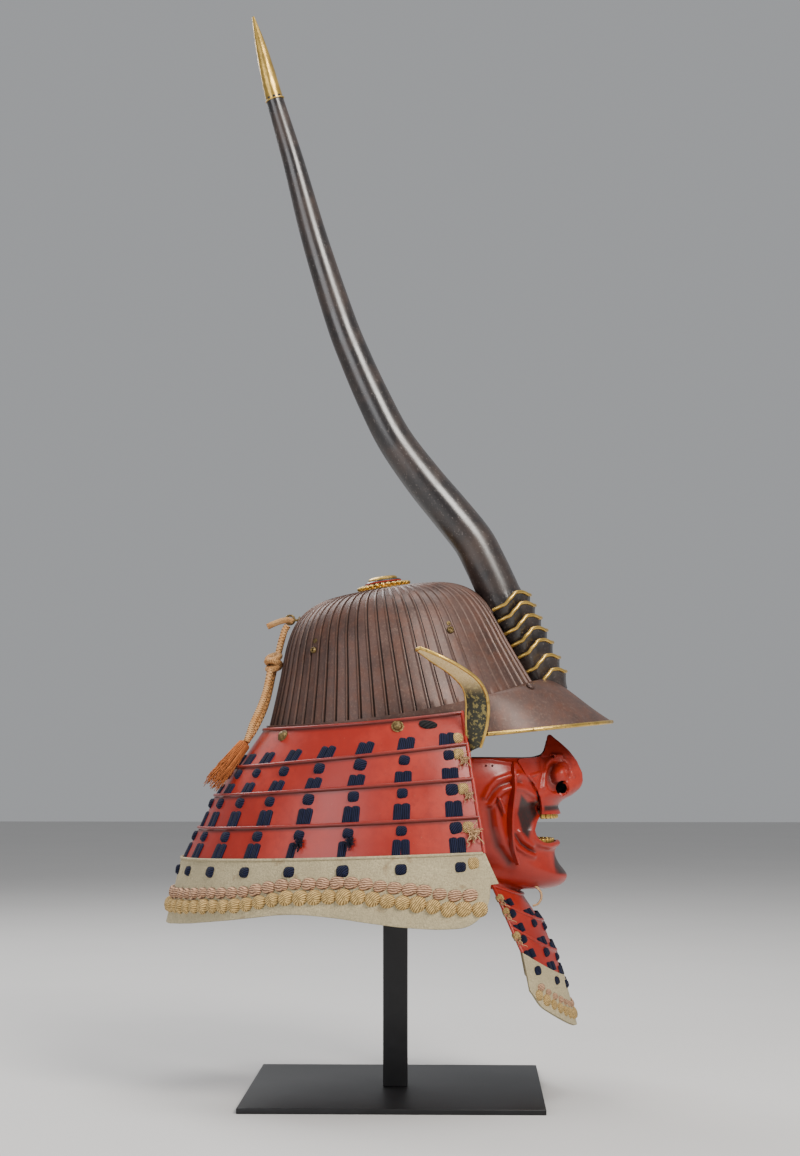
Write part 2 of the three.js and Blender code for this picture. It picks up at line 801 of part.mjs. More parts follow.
function bandClearanceRing(level) {
  const ring = [];
  for (let i = 0; i < CLEARANCE_SIDES; i += 1) {
    ring.push(rimPoint((i / CLEARANCE_SIDES) * 2 * Math.PI, VISOR_ROOT_OUT + 2 * GAP, level));
  }
  return ring;
}

const bandClearance = loft([bandClearanceRing(-BAND_HEIGHT - GAP), bandClearanceRing(BAND_LAP + 2 * GAP)]);
const visorClearance = visorBody(GAP);

function seated(geometry) {
  return cut(geometry, bowlClearance, bandClearance, visorClearance);
}

const hornShaft = hornLength(HORN_SEAT_SHARE, HORN_TIP_SHARE, 0, 0, HORN_RIDGE);
place(helmet, 'horn', cut(hornShaft, bowlClearance), 'darkLacquer');
place(helmet, 'horn_tip', hornLength(HORN_TIP_SHARE, 1, GAP, 0, TIP_RIDGE), 'gilt');

function hornFoot() {
  const whole = hornLength(HORN_PATH[0].rise, HORN_SEAT_SHARE, 0, -GAP, 0);
  const under = at(0, HORN_FOOT_FORWARD, HORN_FOOT_UP + HORN_PATH[0].rise * HORN_RISE);
  const block = new THREE.BoxGeometry(2 * HORN_WIDTH, 2 * HORN_WIDTH, 2 * HORN_WIDTH);
  block.translate(under.x, under.y, under.z - HORN_WIDTH);
  return cut(seated(whole), block);
}

// Shares of the rise where the collars' lips stand at the front, from the top one down
const COLLAR_LIPS = [0.115, 0.099, 0.0785, 0.061, 0.0445, 0.024, 0.0065];
const WAVE_TURNS = 1.9;

// A half collar: its lip dips at the front, rises beside it and falls away towards the bowl
function hornCollar(lip) {
  const sections = [];
  const steps = 12;
  const { centre, along, width } = hornStation(lip);
  const inner = 0.5 * width + GAP;
  for (let i = 0; i <= steps; i += 1) {
    const turn = ((2 * i) / steps - 1) * COLLAR_SWEEP * DEG;
    const wave = COLLAR_WAVE * (Math.sin(Math.abs(turn) * WAVE_TURNS) - 1 + Math.cos(turn));
    const ray = hornFront(along).multiplyScalar(Math.cos(turn)).add(new THREE.Vector3(Math.sin(turn), 0, 0));
    const reach = (radius, level) => centre.clone()
      .addScaledVector(ray, radius)
      .addScaledVector(along, level);
    sections.push([
      reach(inner, wave - COLLAR_HEIGHT),
      reach(inner + COLLAR_WALL, wave - COLLAR_HEIGHT),
      reach(inner + COLLAR_WALL + COLLAR_FLARE, wave),
      reach(inner + COLLAR_FLARE, wave),
    ]);
  }
  return seated(loft(sections));
}

// The largest piece that a cut leaves
function largest(geometry) {
  const parts = toSolid(geometry).decompose();
  return fromSolid(parts.reduce((best, part) => (part.volume() > best.volume() ? part : best)));
}

place(helmet, 'horn_foot', largest(hornFoot()), 'darkLacquer');
COLLAR_LIPS.slice(0, COLLAR_COUNT).forEach((lip, i) => {
  place(helmet, `horn_collar_${i + 1}`, largest(hornCollar(lip)), 'darkLacquer');
});

// Ears

// Sections of an ear from its foot to its tip, as shares of its height and width. Forward and side place
// the middle of each section against its seat on the first lame's front end, and face is the turn of its
// broad face from straight ahead, in degrees.
const EAR_SECTIONS = [
  { rise: 0.0, forward: -0.035, side: 0.0, width: 0.45, face: 70 },
  { rise: 0.14, forward: 0.0, side: 0.06, width: 0.8, face: 68 },
  { rise: 0.32, forward: 0.035, side: 0.11, width: 1.0, face: 62 },
  { rise: 0.48, forward: 0.045, side: 0.16, width: 0.98, face: 52 },
  { rise: 0.62, forward: 0.005, side: 0.24, width: 0.9, face: 38 },
  { rise: 0.76, forward: -0.115, side: 0.33, width: 0.8, face: 28 },
  { rise: 0.89, forward: -0.275, side: 0.4, width: 0.66, face: 24 },
  { rise: 1.0, forward: -0.415, side: 0.42, width: 0.28, face: 20 },
];
const EAR_FOOT_UP = -50;
const EAR_TILT = 0.25;
const EAR_SEAT_SECTION = EAR_SECTIONS[1];
const EAR_SEAT_REACH = 0.5 * EAR_SEAT_SECTION.width * EAR_WIDTH * Math.sin(EAR_SEAT_SECTION.face * DEG);
const EAR_SEAT_FORWARD = NECK_FRONT + EAR_SEAT_REACH;

function earRing(section, side) {
  const [, width] = neckHalves(0);
  const foot = width + GAP + EAR_WALL;
  const centre = at(
    side * (foot + section.side * EAR_HEIGHT),
    EAR_SEAT_FORWARD + section.forward * EAR_HEIGHT,
    EAR_FOOT_UP + section.rise * EAR_HEIGHT,
  );
  const broad = at(side * Math.cos(section.face * DEG), Math.sin(section.face * DEG), EAR_TILT).normalize();
  const thin = at(side * Math.sin(section.face * DEG), -Math.cos(section.face * DEG), 0).normalize();
  const half = 0.5 * section.width * EAR_WIDTH;
  const wall = 0.5 * EAR_WALL;
  return [
    [-1, -0.4], [-1, 0.4], [-0.5, 1], [0.5, 1], [1, 0.4], [1, -0.4], [0.5, -1], [-0.5, -1],
  ].map(([a, b]) => centre.clone().addScaledVector(broad, a * half).addScaledVector(thin, b * wall));
}

function earBody(side) {
  return loft(EAR_SECTIONS.map((section) => earRing(section, side)));
}

// Gilt rim bead along the outer edge of an ear
function earRim(side) {
  const points = EAR_SECTIONS.map((section) => {
    const ring = earRing(section, side);
    const middle = ring[4].clone().lerp(ring[5], 0.5);
    const inner = ring[0].clone().lerp(ring[1], 0.5);
    const out = new THREE.Vector3().subVectors(middle, inner).normalize();
    return middle.addScaledVector(out, EAR_RIM_RADIUS + 2 * GAP);
  });
  return bar(points, EAR_RIM_RADIUS, 6, 10);
}

[['left', -1], ['right', 1]].forEach(([word, side]) => {
  place(helmet, `ear_${word}`, earBody(side), 'iron');
  place(helmet, `ear_rim_${word}`, earRim(side), 'gilt');
});

// Mask

// Sections of the mask from its upper edge down. Level is a share of its height above its floor, half a
// share of its half width, front and rear shares of its depth, full how square the section is, and lift
// how far its rear ends rise, as a share of its height.
const MASK_SECTIONS = [
  { level: 1.0, half: 0.93, front: 0.6, rear: 0.0, full: 2.3, lift: 0.0 },
  { level: 0.89, half: 0.985, front: 0.62, rear: 0.0, full: 2.5, lift: 0.0 },
  { level: 0.775, half: 1.0, front: 0.61, rear: 0.01, full: 2.5, lift: 0.0 },
  { level: 0.65, half: 0.97, front: 0.6, rear: 0.02, full: 2.2, lift: 0.0 },
  { level: 0.51, half: 0.94, front: 0.69, rear: 0.06, full: 2.0, lift: 0.02 },
  { level: 0.405, half: 0.9, front: 0.775, rear: 0.09, full: 1.9, lift: 0.05 },
  { level: 0.33, half: 0.86, front: 0.74, rear: 0.12, full: 2.0, lift: 0.07 },
  { level: 0.255, half: 0.82, front: 0.77, rear: 0.15, full: 2.0, lift: 0.09 },
  { level: 0.165, half: 0.75, front: 0.845, rear: 0.185, full: 2.0, lift: 0.12 },
  { level: 0.1, half: 0.69, front: 0.8, rear: 0.21, full: 2.0, lift: 0.14 },
  { level: 0.066, half: 0.64, front: 0.66, rear: 0.2, full: 2.0, lift: 0.12 },
  { level: 0.058, half: 0.605, front: 0.44, rear: 0.19, full: 2.0, lift: 0.1 },
  { level: 0.0, half: 0.6, front: 0.43, rear: 0.19, full: 2.0, lift: 0.09 },
];
const MASK_COLUMNS = 16;
const MASK_DEPTH = MASK_FRONT - MASK_REAR;
const LOWER_LIP = MASK_SECTIONS[5];

// The turns of the mask's columns, from one rear edge round the front to the other
const MASK_TURNS = Array.from({ length: MASK_COLUMNS + 1 }, (_, i) => (i / MASK_COLUMNS - 0.5) * Math.PI);

function maskPoint(section, turn) {
  const power = 2 / section.full;
  const sine = Math.sin(turn);
  const side = section.half * MASK_HALF_WIDTH * Math.sign(sine) * Math.abs(sine) ** power;
  const depth = Math.max(Math.cos(turn), 0) ** power;
  const forward = MASK_REAR + MASK_DEPTH * mix(section.rear, section.front, depth);
  const level = section.level + section.lift * (1 - Math.cos(turn));
  return at(side, forward, MASK_FLOOR + level * MASK_HEIGHT);
}

// How far forward the mask's face stands at a side distance and a height
function maskForward(side, up) {
  const level = (up - MASK_FLOOR) / MASK_HEIGHT;
  let i = 0;
  while (i < MASK_SECTIONS.length - 2 && MASK_SECTIONS[i + 1].level > level) i += 1;
  const a = MASK_SECTIONS[i];
  const b = MASK_SECTIONS[i + 1];
  const t = THREE.MathUtils.clamp((level - a.level) / (b.level - a.level), 0, 1);
  const forward = (section) => {
    const share = Math.min(Math.abs(side) / (section.half * MASK_HALF_WIDTH), 1);
    const depth = (1 - share ** section.full) ** (1 / section.full);
    return MASK_REAR + MASK_DEPTH * mix(section.rear, section.front, depth);
  };
  return mix(forward(a), forward(b), t);
}

// The mouth: its corners stand at this share of its height, and its lower lip is a millimetre high
const MOUTH_CORNER = 0.4;
const LIP_HEIGHT = 1;
const MOUTH_START = 0.35;

function maskBody() {
  const rows = MASK_SECTIONS.map((section) => MASK_TURNS.map((turn) => maskPoint(section, turn)));
  const shell = sheet(rows, MASK_WALL);
  const mouth = new THREE.Shape();
  const low = LOWER_LIP.level * MASK_HEIGHT + MASK_FLOOR + LIP_HEIGHT;
  const high = NOSE_FLOOR + MOUTH_LAP;
  const middle = mix(low, high, MOUTH_CORNER);
  mouth.moveTo(-MOUTH_HALF_WIDTH, middle);
  mouth.quadraticCurveTo(-MOUTH_HALF_WIDTH, low, 0, low);
  mouth.quadraticCurveTo(MOUTH_HALF_WIDTH, low, MOUTH_HALF_WIDTH, middle);
  mouth.quadraticCurveTo(MOUTH_HALF_WIDTH, high, 0, high);
  mouth.quadraticCurveTo(-MOUTH_HALF_WIDTH, high, -MOUTH_HALF_WIDTH, middle);
  const opening = new THREE.ExtrudeGeometry(mouth, {
    depth: MASK_DEPTH,
    bevelEnabled: false,
    curveSegments: 5,
  });
  opening.rotateX(0.5 * Math.PI).translate(0, -(MASK_REAR + MASK_DEPTH * MOUTH_START), 0);
  return cut(shell, opening);
}

place(kabuto, 'mask', maskBody(), 'lacquer');

// Rows of the nose piece from the bridge to the upper lip: level as a share of its height, front as a
// share of the mask's depth, half as a share of its half width, fall how fast it drops to the cheeks.
const NOSE_SECTIONS = [
  { level: 1.0, front: 0.71, half: 0.2, fall: 1.2 },
  { level: 0.91, front: 0.785, half: 0.3, fall: 1.3 },
  { level: 0.79, front: 0.875, half: 0.46, fall: 1.5 },
  { level: 0.65, front: 0.945, half: 0.64, fall: 1.6 },
  { level: 0.49, front: 0.99, half: 0.8, fall: 1.5 },
  { level: 0.37, front: 0.99, half: 0.88, fall: 1.1 },
  { level: 0.28, front: 0.945, half: 0.92, fall: 0.9 },
  { level: 0.2, front: 0.86, half: 0.95, fall: 0.8 },
  { level: 0.15, front: 0.79, half: 0.97, fall: 0.8 },
  { level: 0.08, front: 0.775, half: 1.0, fall: 0.75 },
  { level: 0.0, front: 0.795, half: 0.92, fall: 0.75 },
];
const NOSE_COLUMNS = 10;
const NOSE_ROUND = 1.8;
const UPPER_LIP = NOSE_SECTIONS[NOSE_SECTIONS.length - 1];

function nosePoint(section, share) {
  const side = share * section.half * NOSE_HALF_WIDTH;
  const up = NOSE_FLOOR + section.level * NOSE_HEIGHT;
  const edge = section.half * NOSE_HALF_WIDTH;
  const seat = maskForward(edge, Math.min(up, MASK_FLOOR + MASK_HEIGHT)) + MASK_WALL + GAP;
  const front = MASK_REAR + section.front * MASK_DEPTH;
  const fall = (1 - Math.abs(share) ** NOSE_ROUND) ** section.fall;
  return at(side, mix(Math.min(seat, front), front, fall), up);
}

// The mask's face moved forwards and outwards by a gap, to cut what seats on it
const faceClearance = sheet(MASK_SECTIONS.map((section) => MASK_TURNS.map((turn) => (
  maskPoint(section, turn).add(at(Math.sin(turn), Math.cos(turn), 0).multiplyScalar(GAP))
))), 3 * MASK_WALL);

function noseBody() {
  const rows = NOSE_SECTIONS.map((section) => {
    const row = [];
    for (let i = 0; i <= NOSE_COLUMNS; i += 1) row.push(nosePoint(section, (2 * i) / NOSE_COLUMNS - 1));
    return row;
  });
  return largest(cut(sheet(rows, MASK_WALL), faceClearance));
}

place(kabuto, 'nose_piece', noseBody(), 'lacquer');

// A row of teeth: a curved bar with a scalloped outer face
const TOOTH_BULGE = 1;

function teeth(front, up) {
  const half = MOUTH_HALF_WIDTH - TEETH_INSET;
  const outline = new THREE.Shape();
  const steps = TOOTH_COUNT * 2;
  const spot = (i, inset) => {
    const turn = ((i / steps) * 2 - 1) * TEETH_SWEEP * DEG;
    const forward = front - TEETH_DEPTH + (TEETH_DEPTH - inset) * Math.cos(turn);
    return new THREE.Vector2((half - inset) * Math.sin(turn), -forward);
  };
  const points = [];
  for (let i = 0; i <= steps; i += 1) points.push(spot(i, i % 2 === 0 ? TOOTH_BULGE : 0));
  for (let i = steps; i >= 0; i -= 2) points.push(spot(i, TEETH_WALL));
  outline.setFromPoints(points);
  return new THREE.ExtrudeGeometry(outline, { depth: TOOTH_HEIGHT, bevelEnabled: false })
    .translate(0, 0, up);
}

const LIP_FRONT = MASK_REAR + MASK_DEPTH * LOWER_LIP.front;
const LIP_UP = MASK_FLOOR + MASK_HEIGHT * LOWER_LIP.level;
const LIP_LAP = 2;
const UPPER_LIP_FRONT = MASK_REAR + MASK_DEPTH * UPPER_LIP.front;
const upperTeeth = teeth(UPPER_LIP_FRONT - MASK_WALL - GAP, NOSE_FLOOR - TOOTH_HEIGHT - GAP);
const lowerTeeth = teeth(LIP_FRONT - MASK_WALL - 4 * GAP, LIP_UP - LIP_LAP);
place(kabuto, 'teeth_upper', upperTeeth, 'gilt');
place(kabuto, 'teeth_lower', lowerTeeth, 'gilt');

// Standing flange down each cheek, which holds the mask's tie cord
const FLANGE_LEVELS = [0.96, 0.86, 0.74, 0.62, 0.5, 0.4, 0.32, 0.25];
const FLANGE_FORWARD = 0.38;
const FLANGE_SEARCH = 0.25;

function cheekFlange(side) {
  const sections = FLANGE_LEVELS.map((level) => {
    const up = MASK_FLOOR + level * MASK_HEIGHT;
    const forward = MASK_REAR + FLANGE_FORWARD * MASK_DEPTH;
    let out = 0;
    while (out < MASK_HALF_WIDTH && maskForward(out, up) > forward) out += FLANGE_SEARCH;
    const foot = at(side * (out - GAP), forward - GAP, up);
    const ray = at(side * Math.sin(FLANGE_TURN * DEG), Math.cos(FLANGE_TURN * DEG), 0);
    const wide = at(side * Math.cos(FLANGE_TURN * DEG), -Math.sin(FLANGE_TURN * DEG), 0);
    return [
      foot,
      foot.clone().addScaledVector(ray, FLANGE_DEPTH),
      foot.clone().addScaledVector(ray, FLANGE_DEPTH).addScaledVector(wide, FLANGE_WALL),
      foot.clone().addScaledVector(wide, FLANGE_WALL),
    ];
  });
  return largest(cut(loft(sections), faceClearance));
}

place(kabuto, 'cheek_flange_left', cheekFlange(-1), 'lacquer');
place(kabuto, 'cheek_flange_right', cheekFlange(1), 'lacquer');

// Throat guard

// Edges of the throat guard's lames, from the top down. Front and rear are shares of its reach in front
// of the mask's lower edge, half is a share of its half width, and the drops are shares of its drop. The
// first edge is as wide as the mask's lower edge.
const THROAT_EDGES = [
  { front: 0.0, rear: 0.0, drop: -0.03, endDrop: -0.03 },
  { front: 0.37, rear: 0.1, half: 0.76, drop: 0.17, endDrop: 0.08 },
  { front: 0.62, rear: 0.28, half: 0.84, drop: 0.4, endDrop: 0.25 },
  { front: 0.76, rear: 0.5, half: 0.92, drop: 0.585, endDrop: 0.44 },
  { front: 1.0, rear: 0.62, half: 1.0, drop: 0.97, endDrop: 0.66 },
];
const MASK_EDGE = MASK_SECTIONS[MASK_SECTIONS.length - 1];
const THROAT_STEPS = 10;
const THROAT_SPREAD = 0.92;

function throatPoint(row, share) {
  const edge = THROAT_EDGES[row];
  const turn = share * 0.5 * Math.PI;
  const out = LAME_WALL + 3 * GAP;
  const rim = MASK_REAR + MASK_DEPTH * MASK_EDGE.front + out;
  const rear = MASK_REAR + MASK_DEPTH * MASK_EDGE.rear;
  const half = row === 0 ? MASK_EDGE.half * MASK_HALF_WIDTH + out : edge.half * THROAT_HALF_WIDTH;
  const forward = mix(rear + edge.rear * THROAT_REACH, rim + edge.front * THROAT_REACH, Math.cos(turn));
  const drop = mix(edge.drop, edge.endDrop, 1 - Math.cos(turn)) * THROAT_DROP;
  const lift = MASK_EDGE.lift * MASK_HEIGHT * (1 - Math.cos(turn));
  return at(half * Math.sin(turn), forward, MASK_FLOOR + lift - drop);
}

function throatOut(share) {
  const turn = share * 0.5 * Math.PI;
  return at(Math.sin(turn), Math.cos(turn), 0);
}

function throatLame(row) {
  const sections = [];
  const last = row === THROAT_EDGES.length - 2;
  for (let i = 0; i <= THROAT_STEPS; i += 1) {
    const share = ((2 * i) / THROAT_STEPS - 1) * THROAT_SPREAD;
    const top = throatPoint(row, share);
    const next = throatPoint(row + 1, share);
    const out = throatOut(share);
    if (last) {
      sections.push([
        top.clone().addScaledVector(out, LEATHER_WALL - LAME_WALL),
        next.clone().addScaledVector(out, LEATHER_WALL - LAME_WALL),
        next.clone().addScaledVector(out, -LAME_WALL),
        top.clone().addScaledVector(out, -LAME_WALL),
      ]);
    } else {
      sections.push(lameRing(top, next, throatPoint(row + 2, share), out, out, LAME_WALL));
    }
  }
  return loft(sections);
}

place(kabuto, 'throat_lame_1', throatLame(0), 'lacquer');
place(kabuto, 'throat_lame_2', throatLame(1), 'lacquer');
place(kabuto, 'throat_lame_3', throatLame(2), 'lacquer');
place(kabuto, 'throat_lame_4', throatLame(3), 'leather');

// Stand

const plate = new THREE.BoxGeometry(PLATE_WIDTH, PLATE_DEPTH, PLATE_HEIGHT);
plate.translate(0, 0, PLATE_HEIGHT / 2);
place(kabuto, 'stand_plate', plate, 'blackSteel');

// Height over the floor of a level of the helmet, above the middle of the post
const TILT_SINE = Math.sin(HELMET_TILT * DEG);
const TILT_COSINE = Math.cos(HELMET_TILT * DEG);
const CAP_TOP = BOWL_HEIGHT - BOWL_WALL - GAP;
const CAP_FOOT = CAP_TOP - CAP_HEIGHT;
const CAP_FORWARD = (CAP_FOOT * TILT_SINE - SEAT_FORWARD) / TILT_COSINE;

const CAP_SIDES = 16;
const cap = new THREE.CylinderGeometry(CAP_RADIUS, CAP_RADIUS, CAP_HEIGHT, CAP_SIDES);
cap.rotateX(0.5 * Math.PI).translate(0, -CAP_FORWARD, CAP_FOOT + CAP_HEIGHT / 2);
place(helmet, 'stand_cap', cap, 'blackSteel');

function standPost() {
  const half = POST_SIDE / 2;
  const top = (forward) => {
    const reach = (forward - SEAT_FORWARD + CAP_FOOT * TILT_SINE) / TILT_COSINE;
    return SEAT_HEIGHT + CAP_FOOT * TILT_COSINE + reach * TILT_SINE - GAP;
  };
  const foot = PLATE_HEIGHT + GAP;
  return loft([-half, half].map((side) => [
    at(side, -half, foot),
    at(side, half, foot),
    at(side, half, top(half)),
    at(side, -half, top(-half)),
  ]));
}

place(kabuto, 'stand_post', standPost(), 'blackSteel');

function maskArm() {
  const start = POST_SIDE / 2 + GAP;
  const end = maskForward(ARM_WIDTH / 2, ARM_LEVEL + ARM_HEIGHT / 2) - MASK_WALL - 2 * GAP;
  const arm = new THREE.BoxGeometry(ARM_WIDTH, end - start, ARM_HEIGHT);
  return arm.translate(0, -(start + end) / 2, ARM_LEVEL);
}

place(kabuto, 'mask_arm', maskArm(), 'blackSteel');

// Ring and tied cord at the back

const RING_ROW = { rise: 0.865, spread: 0.66 };
const stemClearance = smoothBowl(GAP, BAND_HEIGHT, CLEARANCE_SIDES);

function backRing() {
  const root = bowlPoint(Math.PI, RING_ROW, RIB_HEIGHT + GAP);
  const outward = at(0, -1, 0.1).normalize();
  const seat = root.clone().addScaledVector(outward, RING_STEM);
  const centre = seat.clone().addScaledVector(outward, RING_RADIUS);
  const ring = new THREE.TorusGeometry(RING_RADIUS, RING_WIRE, 5, 12);
  ring.rotateY(0.5 * Math.PI).translate(centre.x, centre.y, centre.z);
  const stem = rod(root.clone().addScaledVector(outward, -2 * BOWL_WALL), seat, RING_WIRE, RIVET_SIDES);
  return fuse(ring, stem);
}

place(helmet, 'back_ring', largest(cut(backRing(), stemClearance)), 'gilt');

// Routes of the cord in the object's own frame: side, forward, up
const CORD_ROUTE = [
  [0, -104.0, 442.0],
  [0, -106.9, 437.2],
  [0, -108.8, 431.0],
  [0, -110.7, 424.1],
  [-1, -112.2, 417.3],
  [-2, -114.2, 409.5],
  [-4, -116.4, 400.8],
  [-6, -118.4, 391.2],
  [-8, -120.2, 381.5],
  [-10, -122.2, 371.9],
  [-12, -124.9, 362.6],
  [-15, -128.5, 353.3],
  [-19, -132.6, 344.2],
  [-22, -137.2, 336.2],
  [-25.0, -142.9, 328.2],
];
const LOOP_ROUTE = [
  [-12.7, -119.3, 399.6],
  [-15.5, -121.6, 386.2],
  [-18, -124.0, 375.6],
  [-21.2, -127.2, 365.4],
  [-24.5, -131.0, 355.9],
  [-27.6, -134.9, 346.6],
  [-29.5, -137.6, 337.8],
  [-31.1, -140.1, 330.1],
];
const KNOT_PLACE = [-7.5, -116.8, 407];
const TASSEL_HEAD = [-28, -142, 328.4];
const TASSEL_SLOPE = [-0.31, -0.58, -0.755];

function route(points) {
  return points.map(([side, forward, up]) => at(side, forward, up));
}

const CORD_SIDES = 8;

function cordTube(points, radius) {
  return bar(route(points), radius, CORD_SIDES, points.length + 1);
}

place(kabuto, 'back_cord', cordTube(CORD_ROUTE, CORD_DIAMETER / 2), 'silk');
place(kabuto, 'back_cord_loop', cordTube(LOOP_ROUTE, CORD_DIAMETER / 2), 'silk');

function cordKnot() {
  const knot = new THREE.SphereGeometry(KNOT_RADIUS, 10, 6);
  knot.translate(...at(...KNOT_PLACE));
  return largest(cut(knot, cordTube(CORD_ROUTE, CORD_DIAMETER / 2 + GAP)));
}

place(kabuto, 'cord_knot', cordKnot(), 'silk');

function cordTassel() {
  const head = at(...TASSEL_HEAD);
  const slope = at(...TASSEL_SLOPE).normalize();
  const parts = [turned([
    [0, 0],
    [TASSEL_RADIUS * 0.86, 0],
    [TASSEL_RADIUS, TASSEL_HEAD_LENGTH * 0.4],
    [TASSEL_RADIUS * 0.86, TASSEL_HEAD_LENGTH],
    [0, TASSEL_HEAD_LENGTH],
  ], head, slope)];
  for (let i = 0; i < TASSEL_LOCKS; i += 1) {
    const turn = (i / TASSEL_LOCKS) * 2 * Math.PI;
    const spread = new THREE.Vector3(Math.cos(turn), 0, Math.sin(turn)).cross(slope).normalize();
    const inside = head.clone().addScaledVector(slope, TASSEL_HEAD_LENGTH / 2);
    const length = TASSEL_LENGTH * mix(0.74, 1, 0.5 + 0.5 * Math.cos(3 * turn));
    const end = head.clone().addScaledVector(slope, length);
    parts.push(rod(
      inside.addScaledVector(spread, TASSEL_RADIUS / 2),
      end.addScaledVector(spread, TASSEL_RADIUS * 0.75),
      LOCK_RADIUS,
      5,
    ));
  }
  return fuse(...parts);
}

place(kabuto, 'cord_tassel', cordTassel(), 'silk');

export default kabuto;
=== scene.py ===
"""Kabuto: a ribbed samurai helmet with a laced neck guard, a tall horn crest and a lacquered face mask,
held on a plain post stand. Metres, +Z up, the mask faces -Y, and the floor is at zero."""

import math
import random

import bmesh
import bpy
from bpy.props import FloatProperty, FloatVectorProperty, IntProperty, PointerProperty
from mathutils import Matrix, Vector


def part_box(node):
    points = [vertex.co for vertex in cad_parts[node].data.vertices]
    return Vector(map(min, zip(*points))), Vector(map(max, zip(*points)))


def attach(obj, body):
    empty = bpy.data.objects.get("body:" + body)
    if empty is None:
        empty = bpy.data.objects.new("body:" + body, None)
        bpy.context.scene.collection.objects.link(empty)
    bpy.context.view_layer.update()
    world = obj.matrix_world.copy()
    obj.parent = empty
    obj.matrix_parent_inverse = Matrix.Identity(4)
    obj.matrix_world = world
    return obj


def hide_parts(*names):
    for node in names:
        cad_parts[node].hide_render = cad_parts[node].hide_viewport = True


bl_info = {
    "name": "Kabuto helmet",
    "version": (1, 0, 0),
    "blender": (4, 5, 0),
    "location": "View3D > Sidebar > Kabuto",
    "description": "Builds a laced samurai helmet with a horn crest and a face mask on a post stand",
    "category": "Add Mesh",
}

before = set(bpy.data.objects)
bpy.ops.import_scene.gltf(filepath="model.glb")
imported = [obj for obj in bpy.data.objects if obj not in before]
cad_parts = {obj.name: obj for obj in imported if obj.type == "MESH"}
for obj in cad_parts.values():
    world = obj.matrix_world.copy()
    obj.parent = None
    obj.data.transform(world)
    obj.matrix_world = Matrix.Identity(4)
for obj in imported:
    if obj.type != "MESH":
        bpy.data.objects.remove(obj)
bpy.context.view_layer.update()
PLATE_LOW, PLATE_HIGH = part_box("stand_plate")
POST_LOW, POST_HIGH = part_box("stand_post")

UP = Vector((0, 0, 1))
SIDES = (-1, 1)
NAMED_SIDES = (("left", -1), ("right", 1))


# Sizes and colours that a user would change


def length(name, description, default):
    return FloatProperty(name=name, description=description, default=default, unit="LENGTH", precision=4)


def colour(name, description, default):
    return FloatVectorProperty(
        name=name, description=description, default=default, subtype="COLOR", size=3, min=0, max=1
    )


class KabutoHelmet(bpy.types.PropertyGroup):
    seat_height: length("Seat height", "Height of the bowl's rim over the floor", 0.363)
    seat_forward: length("Seat forward", "How far the bowl stands before the post", 0.0072)
    tilt: FloatProperty(
        name="Tilt", description="How far the helmet leans back", default=math.radians(9),
        subtype="ANGLE",
    )
    half_length: length("Bowl half length", "From the bowl's middle to its front", 0.1285)
    half_width: length("Bowl half width", "From the bowl's middle to its side", 0.11)
    height: length("Bowl height", "From the rim to the crown", 0.113)
    wall: length("Bowl wall", "Thickness of the iron", 0.003)
    rib_count: IntProperty(name="Ribs", description="Standing ribs of the bowl", default=62, min=12)
    rib_height: length("Rib height", "How far a rib stands out", 0.0018)
    rib_width: length("Rib width", "Width of a rib at its foot", 0.0024)


class KabutoNeckGuard(bpy.types.PropertyGroup):
    reach: length("Reach", "From the bowl's middle to the back of the lowest edge", 0.254)
    half_width: length("Half width", "Half the width of the lowest edge", 0.176)
    drop: length("Drop", "From the bowl's rim to the lowest edge", 0.166)
    front: length("Front", "Where the lames end, before the bowl's middle", 0.055)
    lame_wall: length("Lame wall", "Thickness of a lacquered lame", 0.0014)
    leather_wall: length("Leather wall", "Thickness of the leather lame", 0.0026)
    roll: length("Roll", "Radius of a lame's rolled upper edge", 0.0016)
    strand_width: length("Strand width", "Width of one lacing strand", 0.0083)
    strand_length: length("Strand length", "Length of a strand that shows", 0.0165)
    knot_size: length("Knot size", "Width of a lacing knot", 0.0108)
    cross_knot: length("Cross knot", "Width of a knot on the leather", 0.0140)


class KabutoHorn(bpy.types.PropertyGroup):
    rise: length("Rise", "From the foot to the tip", 0.69)
    width: length("Width", "Widest part", 0.04)
    foot_forward: length("Foot forward", "From the bowl's middle to the foot", 0.1344)
    foot_up: length("Foot up", "Foot over the bowl's rim", 0.003)
    collar_height: length("Collar height", "Height of one collar", 0.011)
    collar_flare: length("Collar flare", "How far a collar's lip stands out", 0.0055)


class KabutoMask(bpy.types.PropertyGroup):
    half_width: length("Half width", "Half the mask's width", 0.073)
    front: length("Front", "Tip of the nose before the post", 0.18)
    rear: length("Rear", "Rear edge before the post", 0.072)
    floor: length("Floor", "Lower edge over the floor", 0.182)
    height: length("Height", "From the lower to the upper edge", 0.133)
    wall: length("Wall", "Thickness of the iron", 0.0024)
    nose_floor: length("Nose floor", "Upper lip over the floor", 0.262)
    nose_height: length("Nose height", "Height of the nose piece", 0.075)
    nose_half_width: length("Nose half width", "Half the nose piece's width", 0.04)
    throat_reach: length("Throat reach", "How far the throat guard stands out", 0.05)
    throat_drop: length("Throat drop", "Height of the throat guard", 0.122)
    throat_half_width: length("Throat half width", "Half its width at the lower edge", 0.076)


